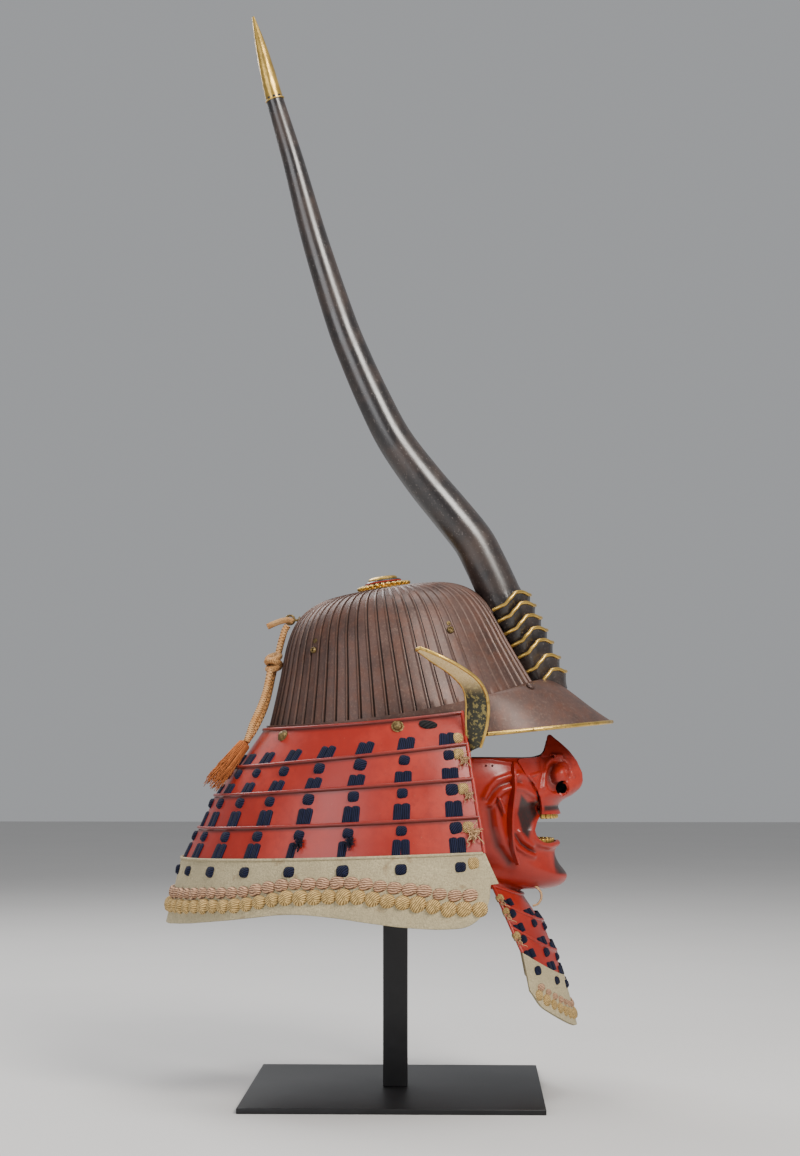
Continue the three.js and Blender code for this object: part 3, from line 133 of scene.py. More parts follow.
class KabutoColours(bpy.types.PropertyGroup):
    iron: colour("Iron", "Russet iron of the bowl", (0.078, 0.041, 0.032))
    lacquer: colour("Lacquer", "Red lacquer", (0.37, 0.018, 0.008))
    black: colour("Black lacquer", "Lacquer of the horn", (0.012, 0.009, 0.009))
    gold: colour("Gold", "Worn gilding", (0.62, 0.4, 0.1))
    leather: colour("Leather", "Undyed leather", (0.50, 0.42, 0.25))
    navy: colour("Navy silk", "Dark blue lacing", (0.008, 0.0105, 0.032))
    cream: colour("Cream silk", "Cream knots", (0.48, 0.315, 0.12))
    cord: colour("Cord", "Faded orange cord", (0.60, 0.27, 0.08))
    stand: colour("Stand", "Satin black paint", (0.008, 0.008, 0.009))
    floor: colour("Floor", "Plain pale floor", (0.62, 0.61, 0.6))


GROUPS = {
    "kabuto_helmet": KabutoHelmet,
    "kabuto_neck": KabutoNeckGuard,
    "kabuto_horn": KabutoHorn,
    "kabuto_mask": KabutoMask,
    "kabuto_colours": KabutoColours,
}


def sizes(group):
    return getattr(bpy.context.scene, group)


# Places and curves


def mix(a, b, t):
    return a + (b - a) * t


def clamp(value, low=0.0, high=1.0):
    return max(low, min(high, value))


def smoothstep(value, low, high):
    t = clamp((value - low) / (high - low))
    return t * t * (3 - 2 * t)


def at(side, forward, up):
    """A place from the middle of the stand's foot."""
    return Vector((side, -forward, up))


def seated(place):
    """Carries a place from the helmet's own frame, level at the bowl's rim, into its tilted seat."""
    helmet = sizes("kabuto_helmet")
    turn = Matrix.Rotation(-helmet.tilt, 3, "X")
    return turn @ place + at(0, helmet.seat_forward, helmet.seat_height)


def smooth_row(rows, t):
    """A smooth reading of a table's rows: t runs from 0 at the first row to 1 at the last."""
    last = len(rows) - 1
    i = min(int(t * last), last - 1)
    u = t * last - i
    before, a, b, after = rows[max(i - 1, 0)], rows[i], rows[i + 1], rows[min(i + 2, last)]
    return tuple(
        0.5
        * (
            2 * a[k]
            + (b[k] - before[k]) * u
            + (2 * before[k] - 5 * a[k] + 4 * b[k] - after[k]) * u * u
            + (3 * a[k] - before[k] - 3 * b[k] + after[k]) * u ** 3
        )
        for k in range(len(a))
    )


def along(points, t):
    """A point of a smooth curve through points."""
    return Vector(smooth_row(points, t))


def heading(points, t):
    step = 0.004
    return (along(points, min(t + step, 1)) - along(points, max(t - step, 0))).normalized()


# Modelling helpers


def added(primitive, **values):
    """A new simple shape from one of Blender's own add operators, with nothing else selected."""
    bpy.ops.object.select_all(action="DESELECT")
    primitive(**values)
    return bpy.context.object


def choose(piece):
    """Makes a piece the only selected and the active one."""
    bpy.ops.object.select_all(action="DESELECT")
    piece.select_set(True)
    bpy.context.view_layer.objects.active = piece


def clean(piece, merge=2e-5, fill=False):
    """Merges doubles, fills open ends if asked, and turns the faces outwards."""
    choose(piece)
    bpy.ops.object.mode_set(mode="EDIT")
    bpy.ops.mesh.select_all(action="SELECT")
    bpy.ops.mesh.remove_doubles(threshold=merge)
    if fill:
        bpy.ops.mesh.fill_holes(sides=0)
        bpy.ops.mesh.select_all(action="SELECT")
    bpy.ops.mesh.normals_make_consistent(inside=False)
    bpy.ops.object.mode_set(mode="OBJECT")


def patch(name, columns, rows, place):
    """A grid bent so that its point (u, v) lies at place(u, v). Its UV map keeps u and v."""
    piece = added(bpy.ops.mesh.primitive_grid_add, x_subdivisions=columns, y_subdivisions=rows, size=1)
    piece.name = name
    for vertex in piece.data.vertices:
        vertex.co = place(vertex.co.x + 0.5, vertex.co.y + 0.5)
    return piece


def apply_modifier(piece, kind, **values):
    choose(piece)
    modifier = piece.modifiers.new(kind.title(), kind)
    for key, value in values.items():
        setattr(modifier, key, value)
    bpy.ops.object.modifier_apply(modifier=modifier.name)


def wall(piece, thickness, middle):
    """Gives an open sheet a wall on the side that looks at the middle."""
    faces = piece.data.polygons
    outward = sum((face.center - middle(face.center)).dot(face.normal) * face.area for face in faces)
    apply_modifier(piece, "SOLIDIFY", thickness=thickness, offset=-1 if outward > 0 else 1)
    clean(piece)


def soften(piece, width, segments):
    """Rounds the sharp edges of a piece."""
    limit = math.radians(50)
    apply_modifier(
        piece, "BEVEL", width=width, segments=segments, limit_method="ANGLE", angle_limit=limit
    )


def smooth(piece, degrees=40):
    choose(piece)
    bpy.ops.object.shade_smooth_by_angle(angle=math.radians(degrees))


def tube(name, points, radius, sides=10, steps=48, width=None, ends=True):
    """A round bar along a smooth curve. width(t) scales its radius."""
    seed = heading(points, 0.5)
    aside = seed.orthogonal().normalized()

    def place(u, v):
        direction = heading(points, v)
        first = (aside - direction * aside.dot(direction)).normalized()
        second = direction.cross(first)
        size = radius * (width(v) if width else 1)
        turn = u * 2 * math.pi
        return along(points, v) + (first * math.cos(turn) + second * math.sin(turn)) * size

    piece = patch(name, sides, steps, place)
    clean(piece, 1e-6, fill=ends)
    smooth(piece, 50)
    return piece


def turned(name, profile, foot, axis, sides=24):
    """A turned shape: profile holds (radius, height) pairs that start and end on the axis."""
    turn = UP.rotation_difference(axis.normalized()).to_matrix()

    def place(u, v):
        index = v * (len(profile) - 1)
        i = min(int(index), len(profile) - 2)
        radius = mix(profile[i][0], profile[i + 1][0], index - i)
        height = mix(profile[i][1], profile[i + 1][1], index - i)
        angle = u * 2 * math.pi
        return foot + turn @ Vector((radius * math.cos(angle), radius * math.sin(angle), height))

    piece = patch(name, sides, len(profile) - 1, place)
    clean(piece, 1e-6)
    smooth(piece)
    return piece


def joined(name, pieces):
    bpy.ops.object.select_all(action="DESELECT")
    for piece in pieces:
        piece.select_set(True)
    bpy.context.view_layer.objects.active = pieces[0]
    if len(pieces) > 1:
        bpy.ops.object.join()
    piece = bpy.context.object
    piece.name = name
    return piece


def copied(name, model, places):
    """Copies of a small model, each moved into its own place, joined as one piece."""
    copies = []
    for place in places:
        choose(model)
        bpy.ops.object.duplicate(linked=False)
        copy = bpy.context.object
        copy.data.transform(place)
        copies.append(copy)
    bpy.data.objects.remove(model)
    return joined(name, copies)


def frame_at(place, right, out):
    """A placing matrix: X along right, Z out of the surface."""
    out = out.normalized()
    right = (right - out * right.dot(out)).normalized()
    up = out.cross(right)
    return Matrix.Translation(place) @ Matrix((right, up, out)).transposed().to_4x4()


def frame_on(surface, lift=0.0):
    """A placing matrix from a surface's (place, way down, way out), lifted off it."""
    spot, slope, out = surface
    return frame_at(spot + out * lift, out.cross(slope), out)


def finish_piece(piece, material, slot, nodes=()):
    piece.data.materials.clear()
    piece.data.materials.append(material)
    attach(piece, "root")
    if nodes:
        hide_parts(*nodes)
    return piece


def paint(piece, name, value):
    """Writes value(place) as a point attribute that a material reads."""
    attribute = piece.data.attributes.new(name, "FLOAT", "POINT")
    for vertex in piece.data.vertices:
        attribute.data[vertex.index].value = value(vertex.co)


# Materials


def new_group(name, inputs, outputs):
    group = bpy.data.node_groups.new(name, "ShaderNodeTree")
    for label, kind, default in inputs:
        socket = group.interface.new_socket(label, in_out="INPUT", socket_type=kind)
        if default is not None:
            socket.default_value = default
    for label, kind in outputs:
        group.interface.new_socket(label, in_out="OUTPUT", socket_type=kind)
    entry = group.nodes.new("NodeGroupInput")
    result = group.nodes.new("NodeGroupOutput")
    return group, entry, result


def link(tree, source, target):
    tree.links.new(source, target)


def node(tree, kind, **values):
    made = tree.nodes.new(kind)
    for key, value in values.items():
        if key in made.inputs:
            made.inputs[key].default_value = value
        else:
            setattr(made, key, value)
    return made


def mottle_group():
    """Cloudy patches with sharp flecks: wear, stains and grain."""
    if "Mottle" in bpy.data.node_groups:
        return bpy.data.node_groups["Mottle"]
    inputs = [
        ("Vector", "NodeSocketVector", None),
        ("Scale", "NodeSocketFloat", 40.0),
        ("Low", "NodeSocketFloat", 0.4),
        ("High", "NodeSocketFloat", 0.6),
    ]
    group, entry, result = new_group("Mottle", inputs, [("Mask", "NodeSocketFloat")])
    noise = node(group, "ShaderNodeTexNoise", Detail=6.0, Roughness=0.62)
    band = node(group, "ShaderNodeMapRange")
    link(group, entry.outputs["Vector"], noise.inputs["Vector"])
    link(group, entry.outputs["Scale"], noise.inputs["Scale"])
    link(group, noise.outputs["Fac"], band.inputs["Value"])
    link(group, entry.outputs["Low"], band.inputs["From Min"])
    link(group, entry.outputs["High"], band.inputs["From Max"])
    link(group, band.outputs["Result"], result.inputs["Mask"])
    return group


def thread_group():
    """Rows of twisted threads across a UV map: their height and their dark gaps."""
    if "Threads" in bpy.data.node_groups:
        return bpy.data.node_groups["Threads"]
    inputs = [
        ("Vector", "NodeSocketVector", None),
        ("Rows", "NodeSocketFloat", 6.0),
        ("Twist", "NodeSocketFloat", 0.0),
        ("Fray", "NodeSocketFloat", 0.5),
    ]
    group, entry, result = new_group("Threads", inputs, [("Height", "NodeSocketFloat")])
    turn = node(group, "ShaderNodeMapping")
    spin = node(group, "ShaderNodeCombineXYZ")
    wave = node(group, "ShaderNodeTexWave", wave_type="BANDS", bands_direction="X")
    wave.inputs["Detail"].default_value = 2.0
    link(group, entry.outputs["Vector"], turn.inputs["Vector"])
    link(group, entry.outputs["Twist"], spin.inputs["Z"])
    link(group, spin.outputs["Vector"], turn.inputs["Rotation"])
    link(group, turn.outputs["Vector"], wave.inputs["Vector"])
    link(group, entry.outputs["Rows"], wave.inputs["Scale"])
    link(group, entry.outputs["Fray"], wave.inputs["Distortion"])
    link(group, wave.outputs["Fac"], result.inputs["Height"])
    return group


def grouped(tree, group, vector, **values):
    made = tree.nodes.new("ShaderNodeGroup")
    made.node_tree = group
    for key, value in values.items():
        made.inputs[key].default_value = value
    link(tree, vector, made.inputs["Vector"])
    return made.outputs[0]


def blend_colour(tree, mask, first, second):
    made = node(tree, "ShaderNodeMix", data_type="RGBA")
    if isinstance(mask, float):
        made.inputs["Factor"].default_value = mask
    else:
        link(tree, mask, made.inputs["Factor"])
    for socket, value in ((made.inputs[6], first), (made.inputs[7], second)):
        if isinstance(value, bpy.types.NodeSocket):
            link(tree, value, socket)
        else:
            socket.default_value = (*value, 1.0)
    return made.outputs[2]


def scaled(rgb, factor):
    return tuple(clamp(channel * factor) for channel in rgb)


def start_material(name, roughness, metallic=0.0, coat=0.0, coat_roughness=0.1):
    material = bpy.data.materials.get(name)
    if material:
        return material, None, None, None
    material = bpy.data.materials.new(name)
    material.use_nodes = True
    tree = material.node_tree
    shader = tree.nodes["Principled BSDF"]
    shader.inputs["Roughness"].default_value = roughness
    shader.inputs["Metallic"].default_value = metallic
    shader.inputs["Coat Weight"].default_value = coat
    shader.inputs["Coat Roughness"].default_value = coat_roughness
    place = tree.nodes.new("ShaderNodeTexCoord")
    return material, tree, shader, place


def ranged(tree, value, low, high):
    made = node(tree, "ShaderNodeMapRange")
    made.inputs["To Min"].default_value = low
    made.inputs["To Max"].default_value = high
    link(tree, value, made.inputs["Value"])
    return made.outputs["Result"]


def colour_with(tree, shader, mask, first, second):
    """Blends two colours by a mask and gives them to the shader."""
    link(tree, blend_colour(tree, mask, first, second), shader.inputs["Base Color"])


def bump(tree, shader, height, strength, distance):
    made = node(tree, "ShaderNodeBump", Strength=strength, Distance=distance)
    link(tree, height, made.inputs["Height"])
    link(tree, made.outputs["Normal"], shader.inputs["Normal"])


def times(tree, source, factor, **values):
    """A value times a number, or times another value."""
    made = node(tree, "ShaderNodeMath", operation="MULTIPLY", **values)
    link(tree, source, made.inputs[0])
    if isinstance(factor, float):
        made.inputs[1].default_value = factor
    else:
        link(tree, factor, made.inputs[1])
    return made.outputs[0]


def attribute(tree, name):
    made = tree.nodes.new("ShaderNodeAttribute")
    made.attribute_name = name
    return made.outputs["Fac"]


def iron_material():
    """Russet iron: brown patina, darker in the clouds and rubbed to bare metal in small flecks, with a
    painted highlight on each rib's crest and painted shade in the groove at its foot.
    """
    rgb = sizes("kabuto_colours").iron
    material, tree, shader, place = start_material("russet iron", 0.46, 0.3)
    if tree:
        spot = place.outputs["Object"]
        cloud = grouped(tree, mottle_group(), spot, Scale=22.0, Low=0.36, High=0.66)
        fleck = grouped(tree, mottle_group(), spot, Scale=420.0, Low=0.52, High=0.72)
        rust = grouped(tree, mottle_group(), spot, Scale=75.0, Low=0.45, High=0.7)
        base = blend_colour(tree, cloud, scaled(rgb, 0.7), scaled(rgb, 1.25))
        rusted = blend_colour(tree, rust, base, (rgb[0] * 1.35, rgb[1] * 1.05, rgb[2] * 0.85))
        worn = blend_colour(tree, times(tree, fleck, 0.22), rusted, (0.30, 0.2, 0.15))
        # Painted highlight on the rib crests and painted shade in the grooves at their feet
        rib = attribute(tree, "rib wear")
        rubbed_and_lit = blend_colour(tree, times(tree, rib, 0.22, use_clamp=True), worn, (0.17, 0.1, 0.07))
        hollow = times(tree, rib, -0.92, use_clamp=True)
        colour_with(tree, shader, hollow, rubbed_and_lit, (0.006, 0.004, 0.003))
        link(tree, ranged(tree, cloud, 0.4, 0.54), shader.inputs["Roughness"])
        bump(tree, shader, fleck, 0.12, 0.0003)
    return material


def lacquer_material():
    """Old red lacquer: glossy, clouded, rubbed paler in places, with black showing at the whiskers and
    painted shade in creases, hollows and under the rolled edges.
    """
    rgb = sizes("kabuto_colours").lacquer
    material, tree, shader, place = start_material("red lacquer", 0.44, coat=0.16, coat_roughness=0.3)
    if tree:
        spot = place.outputs["Object"]
        cloud = grouped(tree, mottle_group(), spot, Scale=14.0, Low=0.4, High=0.66)
        fine = grouped(tree, mottle_group(), spot, Scale=160.0, Low=0.45, High=0.75)
        fleck = grouped(tree, mottle_group(), spot, Scale=700.0, Low=0.66, High=0.72)
        base = blend_colour(tree, cloud, scaled(rgb, 0.78), (rgb[0] * 1.08, rgb[1] * 1.5, rgb[2] * 1.5))
        rubbed_and_lit = blend_colour(tree, fine, base, (rgb[0] * 0.72, rgb[1] * 0.8, rgb[2] * 0.9))
        specks = blend_colour(tree, fleck, rubbed_and_lit, (0.34, 0.1, 0.06))
        stretch = node(tree, "ShaderNodeMapping")
        stretch.inputs["Scale"].default_value = (1, 3.0, 0.35)
        stretch.inputs["Rotation"].default_value = (0.25, 0, 0)
        link(tree, spot, stretch.inputs["Vector"])
        stretched = stretch.outputs["Vector"]
        strokes = grouped(tree, mottle_group(), stretched, Scale=520.0, Low=0.35, High=0.6)
        hair = times(tree, attribute(tree, "whiskers"), ranged(tree, strokes, 0.86, 1.0))
        painted = blend_colour(tree, hair, specks, (0.013, 0.009, 0.008))
        # Painted shade: darkens the lacquer in creases, hollows and under the rolled edges
        painted_shade_mask = times(tree, attribute(tree, "dirt"), 0.82)
        with_painted_shade = blend_colour(tree, painted_shade_mask, painted, (0.05, 0.008, 0.006))
        chips = grouped(tree, mottle_group(), spot, Scale=240.0, Low=0.44, High=0.52)
        patchy = times(tree, attribute(tree, "scuff"), chips)
        colour_with(tree, shader, patchy, with_painted_shade, (0.72, 0.58, 0.52))
        link(tree, ranged(tree, cloud, 0.34, 0.5), shader.inputs["Roughness"])
        shader.inputs["Specular IOR Level"].default_value = 0.4
        bump(tree, shader, fine, 0.12, 0.0005)
    return material


def black_material():
    """Black lacquer over wood, with a thin brown bloom and small pits."""
    rgb = sizes("kabuto_colours").black
    material, tree, shader, place = start_material("black lacquer", 0.34, coat=0.5, coat_roughness=0.22)
    if tree:
        spot = place.outputs["Object"]
        bloom = grouped(tree, mottle_group(), spot, Scale=30.0, Low=0.45, High=0.7)
        pits = grouped(tree, mottle_group(), spot, Scale=520.0, Low=0.6, High=0.68)
        base = blend_colour(tree, bloom, rgb, (0.042, 0.024, 0.017))
        colour_with(tree, shader, pits, base, (0.12, 0.1, 0.09))
        link(tree, ranged(tree, bloom, 0.3, 0.5), shader.inputs["Roughness"])
        bump(tree, shader, pits, 0.3, 0.0004)
    return material


def brass_material():
    """Dull brass, nearly black in its hollows."""
    material, tree, shader, place = start_material("dull brass", 0.42, 0.8)
    if tree:
        spot = place.outputs["Object"]
        cloud = grouped(tree, mottle_group(), spot, Scale=330.0, Low=0.35, High=0.65)
        colour_with(tree, shader, cloud, (0.07, 0.045, 0.02), (0.24, 0.165, 0.06))
        bump(tree, shader, cloud, 0.4, 0.0006)
    return material


def gold_material(name="worn gold", bare=0.35):
    """Gilding rubbed through to dark copper. Bare is how much of it is lost."""
    rgb = sizes("kabuto_colours").gold
    material, tree, shader, place = start_material(name, 0.34, 0.85)
    if tree:
        spot = place.outputs["Object"]
        low, high = 0.72 - bare * 0.4, 0.86 - bare * 0.4
        lost = grouped(tree, mottle_group(), spot, Scale=260.0, Low=low, High=high)
        shade = grouped(tree, mottle_group(), spot, Scale=60.0, Low=0.35, High=0.7)
        base = blend_colour(tree, shade, scaled(rgb, 0.7), scaled(rgb, 1.25))
        colour_with(tree, shader, lost, base, (0.07, 0.04, 0.02))
        link(tree, ranged(tree, lost, 0.3, 0.6), shader.inputs["Roughness"])
        bump(tree, shader, shade, 0.3, 0.0006)
    return material


def leather_material():
    """Undyed leather: soft nap, small creases, dark stains and pinholes."""
    rgb = sizes("kabuto_colours").leather
    material, tree, shader, place = start_material("pale leather", 0.86)
    if tree:
        spot = place.outputs["Object"]
        cloud = grouped(tree, mottle_group(), spot, Scale=26.0, Low=0.38, High=0.68)
        nap = grouped(tree, mottle_group(), spot, Scale=620.0, Low=0.35, High=0.65)
        stain = grouped(tree, mottle_group(), spot, Scale=70.0, Low=0.6, High=0.75)
        base = blend_colour(tree, cloud, scaled(rgb, 1.12), scaled(rgb, 0.82))
        grain = blend_colour(tree, nap, base, scaled(rgb, 0.68))
        colour_with(tree, shader, stain, grain, (0.24, 0.16, 0.08))
        bump(tree, shader, nap, 0.7, 0.0007)
    return material


def silk_material(name, rgb, rows=6.0, twist=0.0, fray=0.6, shade=0.45):
    """Braided silk: threads across the piece's own UV map, with painted shade darkening the gaps between
    them.
    """
    material, tree, shader, place = start_material(name, 0.92)
    if tree:
        shader.inputs["Sheen Weight"].default_value = 0.04
        shader.inputs["Specular IOR Level"].default_value = 0.2
        threads = grouped(tree, thread_group(), place.outputs["UV"], Rows=rows, Twist=twist, Fray=fray)
        cloud = grouped(tree, mottle_group(), place.outputs["Object"], Scale=180.0, Low=0.35, High=0.7)
        faded = blend_colour(tree, cloud, scaled(rgb, 1.2), scaled(rgb, 1.9))
        # Painted shade in the gaps between the threads
        colour_with(tree, shader, threads, scaled(rgb, shade), faded)
        bump(tree, shader, threads, 0.9, 0.0006)
    return material


# Each silk: its colour in the panel, what each channel is times that, its rows of threads, their
# twist and fray, and how dark the painted shade in the gaps is
SILKS = {
    "navy silk": ("navy", (1, 1, 1), 1.6, 0.0, 1.4, 0.2),
    "navy knot silk": ("navy", (1, 1, 1), 2.0, 0.8, 1.4, 0.2),
    "cream silk": ("cream", (1, 1, 1), 2.4, 0.9, 1.0, 0.35),
    "faded pink silk": ("cream", (0.92, 0.82, 1.3), 1.7, 1.5, 1.2, 0.25),
    "frayed cream silk": ("cream", (1.0, 0.95, 1.3), 0.8, 0.0, 0.5, 0.7),
    "frayed orange silk": ("cord", (0.62, 0.42, 0.4), 0.8, 0.0, 0.5, 0.6),
}


def silk(name):
    """One of the silks in the table."""
    colour_name, factors, *threads = SILKS[name]
    rgb = getattr(sizes("kabuto_colours"), colour_name)
    rgb = tuple(channel * factor for channel, factor in zip(rgb, factors))
    return silk_material(name, rgb, *threads)


def black_cloth():
    return silk_material("black silk", (0.012, 0.011, 0.012), 1.5, 0.6, 1.4, 0.5)


def cord_silk():
    """A round braid: two crossing sets of threads that follow the cord's own UV map."""
    rgb = tuple(sizes("kabuto_colours").cord)
    material, tree, shader, place = start_material("orange cord silk", 0.85)
    if tree:
        stretch = node(tree, "ShaderNodeMapping")
        stretch.inputs["Scale"].default_value = (1, 14, 1)
        link(tree, place.outputs["UV"], stretch.inputs["Vector"])
        sets = [
            grouped(tree, thread_group(), stretch.outputs["Vector"], Rows=0.9, Twist=twist, Fray=0.3)
            for twist in (0.95, -0.95)
        ]
        braid = node(tree, "ShaderNodeMath", operation="MAXIMUM")
        link(tree, sets[0], braid.inputs[0])
        link(tree, sets[1], braid.inputs[1])
        cloud = grouped(tree, mottle_group(), place.outputs["Object"], Scale=90.0, Low=0.4, High=0.65)
        faded = blend_colour(tree, cloud, rgb, (rgb[0] * 1.15, rgb[1] * 1.5, rgb[2] * 2.2))
        # Painted shade in the gaps between the braid's threads
        dark = ranged(tree, braid.outputs[0], 0.0, 1.0)
        colour_with(tree, shader, dark, scaled(rgb, 0.3), faded)
        bump(tree, shader, braid.outputs[0], 0.9, 0.0008)
    return material


def stand_material():
    """Satin black paint with a very fine tooth."""
    rgb = sizes("kabuto_colours").stand
    material, tree, shader, place = start_material("satin black paint", 0.42, 0.3)
    if tree:
        spot = place.outputs["Object"]
        tooth = grouped(tree, mottle_group(), spot, Scale=900.0, Low=0.3, High=0.7)
        dust = grouped(tree, mottle_group(), spot, Scale=12.0, Low=0.45, High=0.75)
        colour_with(tree, shader, dust, rgb, scaled(rgb, 2.2))
        bump(tree, shader, tooth, 0.15, 0.0003)
    return material


# Bowl

# Rise and spread of the bowl's outline from its rim to its crown: shares of its height and half sizes
BOWL_OUTLINE = [
    (0.0, 1.0), (0.2, 0.93), (0.41, 0.86), (0.65, 0.785), (0.8, 0.715), (0.89, 0.64), (0.945, 0.56),
    (0.98, 0.47), (0.998, 0.36), (1.003, 0.25), (1.0, 0.15),
]
RIM_SAG = 0.01
RIM_LIFT = 0.003
BAND_HEIGHT = 0.02
BAND_GROW = 0.0026
BAND_WALL = 0.0012


def bowl_place(turn, rise, spread, grow):
    """A place of the bowl in the helmet's frame: turn 0 is the front, grow moves it outwards."""
    helmet = sizes("kabuto_helmet")
    rim = RIM_LIFT * max(math.cos(turn), 0) ** 2 - RIM_SAG * math.sin(turn) ** 2
    lean = clamp(rise) ** 3
    return at(
        (helmet.half_width * spread + grow * (1 - lean)) * math.sin(turn),
        (helmet.half_length * spread + grow * (1 - lean)) * math.cos(turn),
        rise * helmet.height + rim * max(1 - rise, 0) ** 2 + grow * lean,
    )


# Across one plate: share of its pitch from a rib, with steps close together on the rib, rib height,
# and the painted light on it: a painted highlight on the crest where positive, painted shade in the
# groove where negative
RIB_SECTION = [
    (-0.5, 0.1, 0), (-0.25, 0.0, 0), (-1.2, 0.0, 0), (-0.6, 0.7, 0.3), (0.0, 1.0, 1),
    (0.55, 0.94, 0.6), (0.75, -0.35, -1), (1.35, -0.3, -1), (0.2, 0.05, 0),
]


def bowl_shell():
    helmet = sizes("kabuto_helmet")
    count = helmet.rib_count
    pitch = 2 * math.pi / count
    half_rib = helmet.rib_width / (helmet.half_length + helmet.half_width)
    height = helmet.rib_height
    columns = len(RIB_SECTION)

    def place(u, v):
        column = round(u * count * columns)
        rib, part = divmod(column, columns)
        share, rise_of_rib, _ = RIB_SECTION[part]
        rise, spread = smooth_row(BOWL_OUTLINE, v)
        half = min(half_rib / max(spread, 0.15), pitch * 0.3)
        on_rib = 2 <= part <= 7
        offset = share * half if on_rib else share * pitch
        turn = (rib + 0.5) * pitch + offset
        return seated(bowl_place(turn, rise, spread, rise_of_rib * height * mix(0.4, 1, spread)))

    shell = patch("bowl_shell", count * columns, 44, place)
    # Painted light on the ribs, column by column: a painted highlight on each crest, painted shade in
    # each groove
    rib_light = shell.data.attributes.new("rib wear", "FLOAT", "POINT")
    for vertex in shell.data.vertices:
        column = vertex.index % (count * columns + 1)
        rib_light.data[vertex.index].value = RIB_SECTION[column % columns][2]
    clean(shell)
    centre = seated(at(0, 0, 0))
    wall(shell, helmet.wall, lambda spot: centre)
    smooth(shell, 35)
    return finish_piece(shell, iron_material(), "russet_iron", ["bowl"])


def rim_place(turn, grow, level):
    place = bowl_place(turn, 0, 1, grow)
    place.z += level
    return place


def rim_band():
    def place(u, v):
        return seated(rim_place(u * 2 * math.pi, BAND_GROW + BAND_WALL, mix(0.003, -BAND_HEIGHT, v)))

    band = patch("rim_band", 120, 4, place)
    clean(band)
    centre = seated(at(0, 0, 0))
    wall(band, BAND_WALL, lambda spot: Vector((centre.x, centre.y, spot.z)))
    smooth(band)
    return finish_piece(band, iron_material(), "russet_iron", ["bowl_band"])


# Eyelets in the bowl: turn from the front in degrees, share of the outline, radius, and whether ringed
EYELETS = [
    (57, 0.285, 0.0021, False), (57.6, 0.262, 0.0034, True),
    (134, 0.302, 0.0024, False), (134, 0.268, 0.003, True),
]


def eyelets():
    pieces = []
    for degrees, share, radius, ringed in EYELETS:
        for side in SIDES:
            turn = side * math.radians(degrees)
            rise, spread = smooth_row(BOWL_OUTLINE, share)
            foot = seated(bowl_place(turn, rise, spread, 0.0))
            out = (seated(bowl_place(turn, rise, spread, 0.01)) - foot).normalized()
            if ringed:
                profile = [
                    (0, 0.0012), (radius * 0.45, 0.0011), (radius * 0.5, 0.002), (radius * 0.75, 0.0026),
                    (radius, 0.0017), (radius * 1.02, 0), (0, 0),
                ]
            else:
                profile = [(0, 0.0006), (radius, 0.0005), (radius * 1.05, 0), (0, 0)]
            pieces.append(turned("eyelet", profile, foot, out, 16))
    return finish_piece(joined("bowl_eyelets", pieces), brass_material(), "gilt")


# Crown ornament

CROWN_UP = 0.1146


def crown_ornament():
    centre = seated(at(0, 0, CROWN_UP))
    axis = seated(at(0, 0, 1)) - seated(at(0, 0, 0))
    gold = gold_material()
    base = turned("crown_base", [
        (0, 0), (0.0255, 0), (0.026, 0.0012), (0.022, 0.0032), (0.018, 0.0045), (0, 0.0048),
    ], centre, axis, 48)
    beads = []
    for i in range(26):
        turn = i / 26 * 2 * math.pi
        bead = added(bpy.ops.mesh.primitive_uv_sphere_add, segments=10, ring_count=6, radius=0.0031)
        bead.data.transform(Matrix.Diagonal((1.35, 0.86, 0.62, 1)))
        spoke = Matrix.Rotation(turn, 4, "Z") @ Matrix.Translation((0.0222, 0, 0.0036))
        lean = UP.rotation_difference(axis.normalized()).to_matrix().to_4x4()
        bead.data.transform(Matrix.Translation(centre) @ lean @ spoke)
        smooth(bead, 80)
        beads.append(bead)
    finish_piece(joined("crown_petals", [base] + beads), gold, "gilt", ["finial_base"])
    ring = turned("crown_ring", [
        (0, 0.0045), (0.0178, 0.0045), (0.0182, 0.006), (0.0172, 0.0066), (0.0176, 0.0078),
        (0.0165, 0.0088), (0, 0.0088),
    ], centre, axis, 48)
    finish_piece(ring, black_material(), "black_lacquer", ["finial_ring"])
    line = turned("crown_red_line", [
        (0, 0.0064), (0.0177, 0.0064), (0.018, 0.0069), (0.0177, 0.0074), (0, 0.0074),
    ], centre, axis, 48)
    finish_piece(line, lacquer_material(), "red_lacquer")
    top = turned("crown_top", [
        (0, 0.0088), (0.0128, 0.0088), (0.014, 0.0095), (0.0141, 0.0108), (0.0128, 0.0121),
        (0.0108, 0.0125), (0.009, 0.0121), (0.0066, 0.0119), (0, 0.0119),
    ], centre, axis, 48)
    finish_piece(top, gold, "gilt", ["finial_top"])


# Neck guard

# Reach and width of each lame edge as shares of the guard's, its drop at the back and at the front ends
# as shares of the guard's, and its sag between them. The first edge is as wide as the bowl's rim.
NECK_EDGES = [
    (None, None, 0.002, 0.066, 0.03),
    (0.659, 0.756, 0.189, 0.25, 0.015),
    (0.75, 0.818, 0.329, 0.453, 0.0),
    (0.828, 0.875, 0.496, 0.66, 0.0),
    (0.906, 0.932, 0.649, 0.852, 0.0),
    (0.998, 1.0, 0.997, 1.02, 0.0),
]
TOP_LAME_OUT = 0.0064
LAME_GAP = 0.0008
LAME_LAP = 0.008
# Where a lame's rolled edge ends and its lap begins, as shares of its rows
ROLL_END = 0.4
LAP_START = 0.85
ROLL_FROM, ROLL_TO = math.radians(200), math.radians(-70)
LAME_COLUMNS = 110
# Painted shade on a lame by its row: darkest in the corner under the rolled edge
LAME_PAINTED_SHADE = (0, 0, 0.1, 0.2, 0.3, 0.45, 0.7, 1, 1, 0)


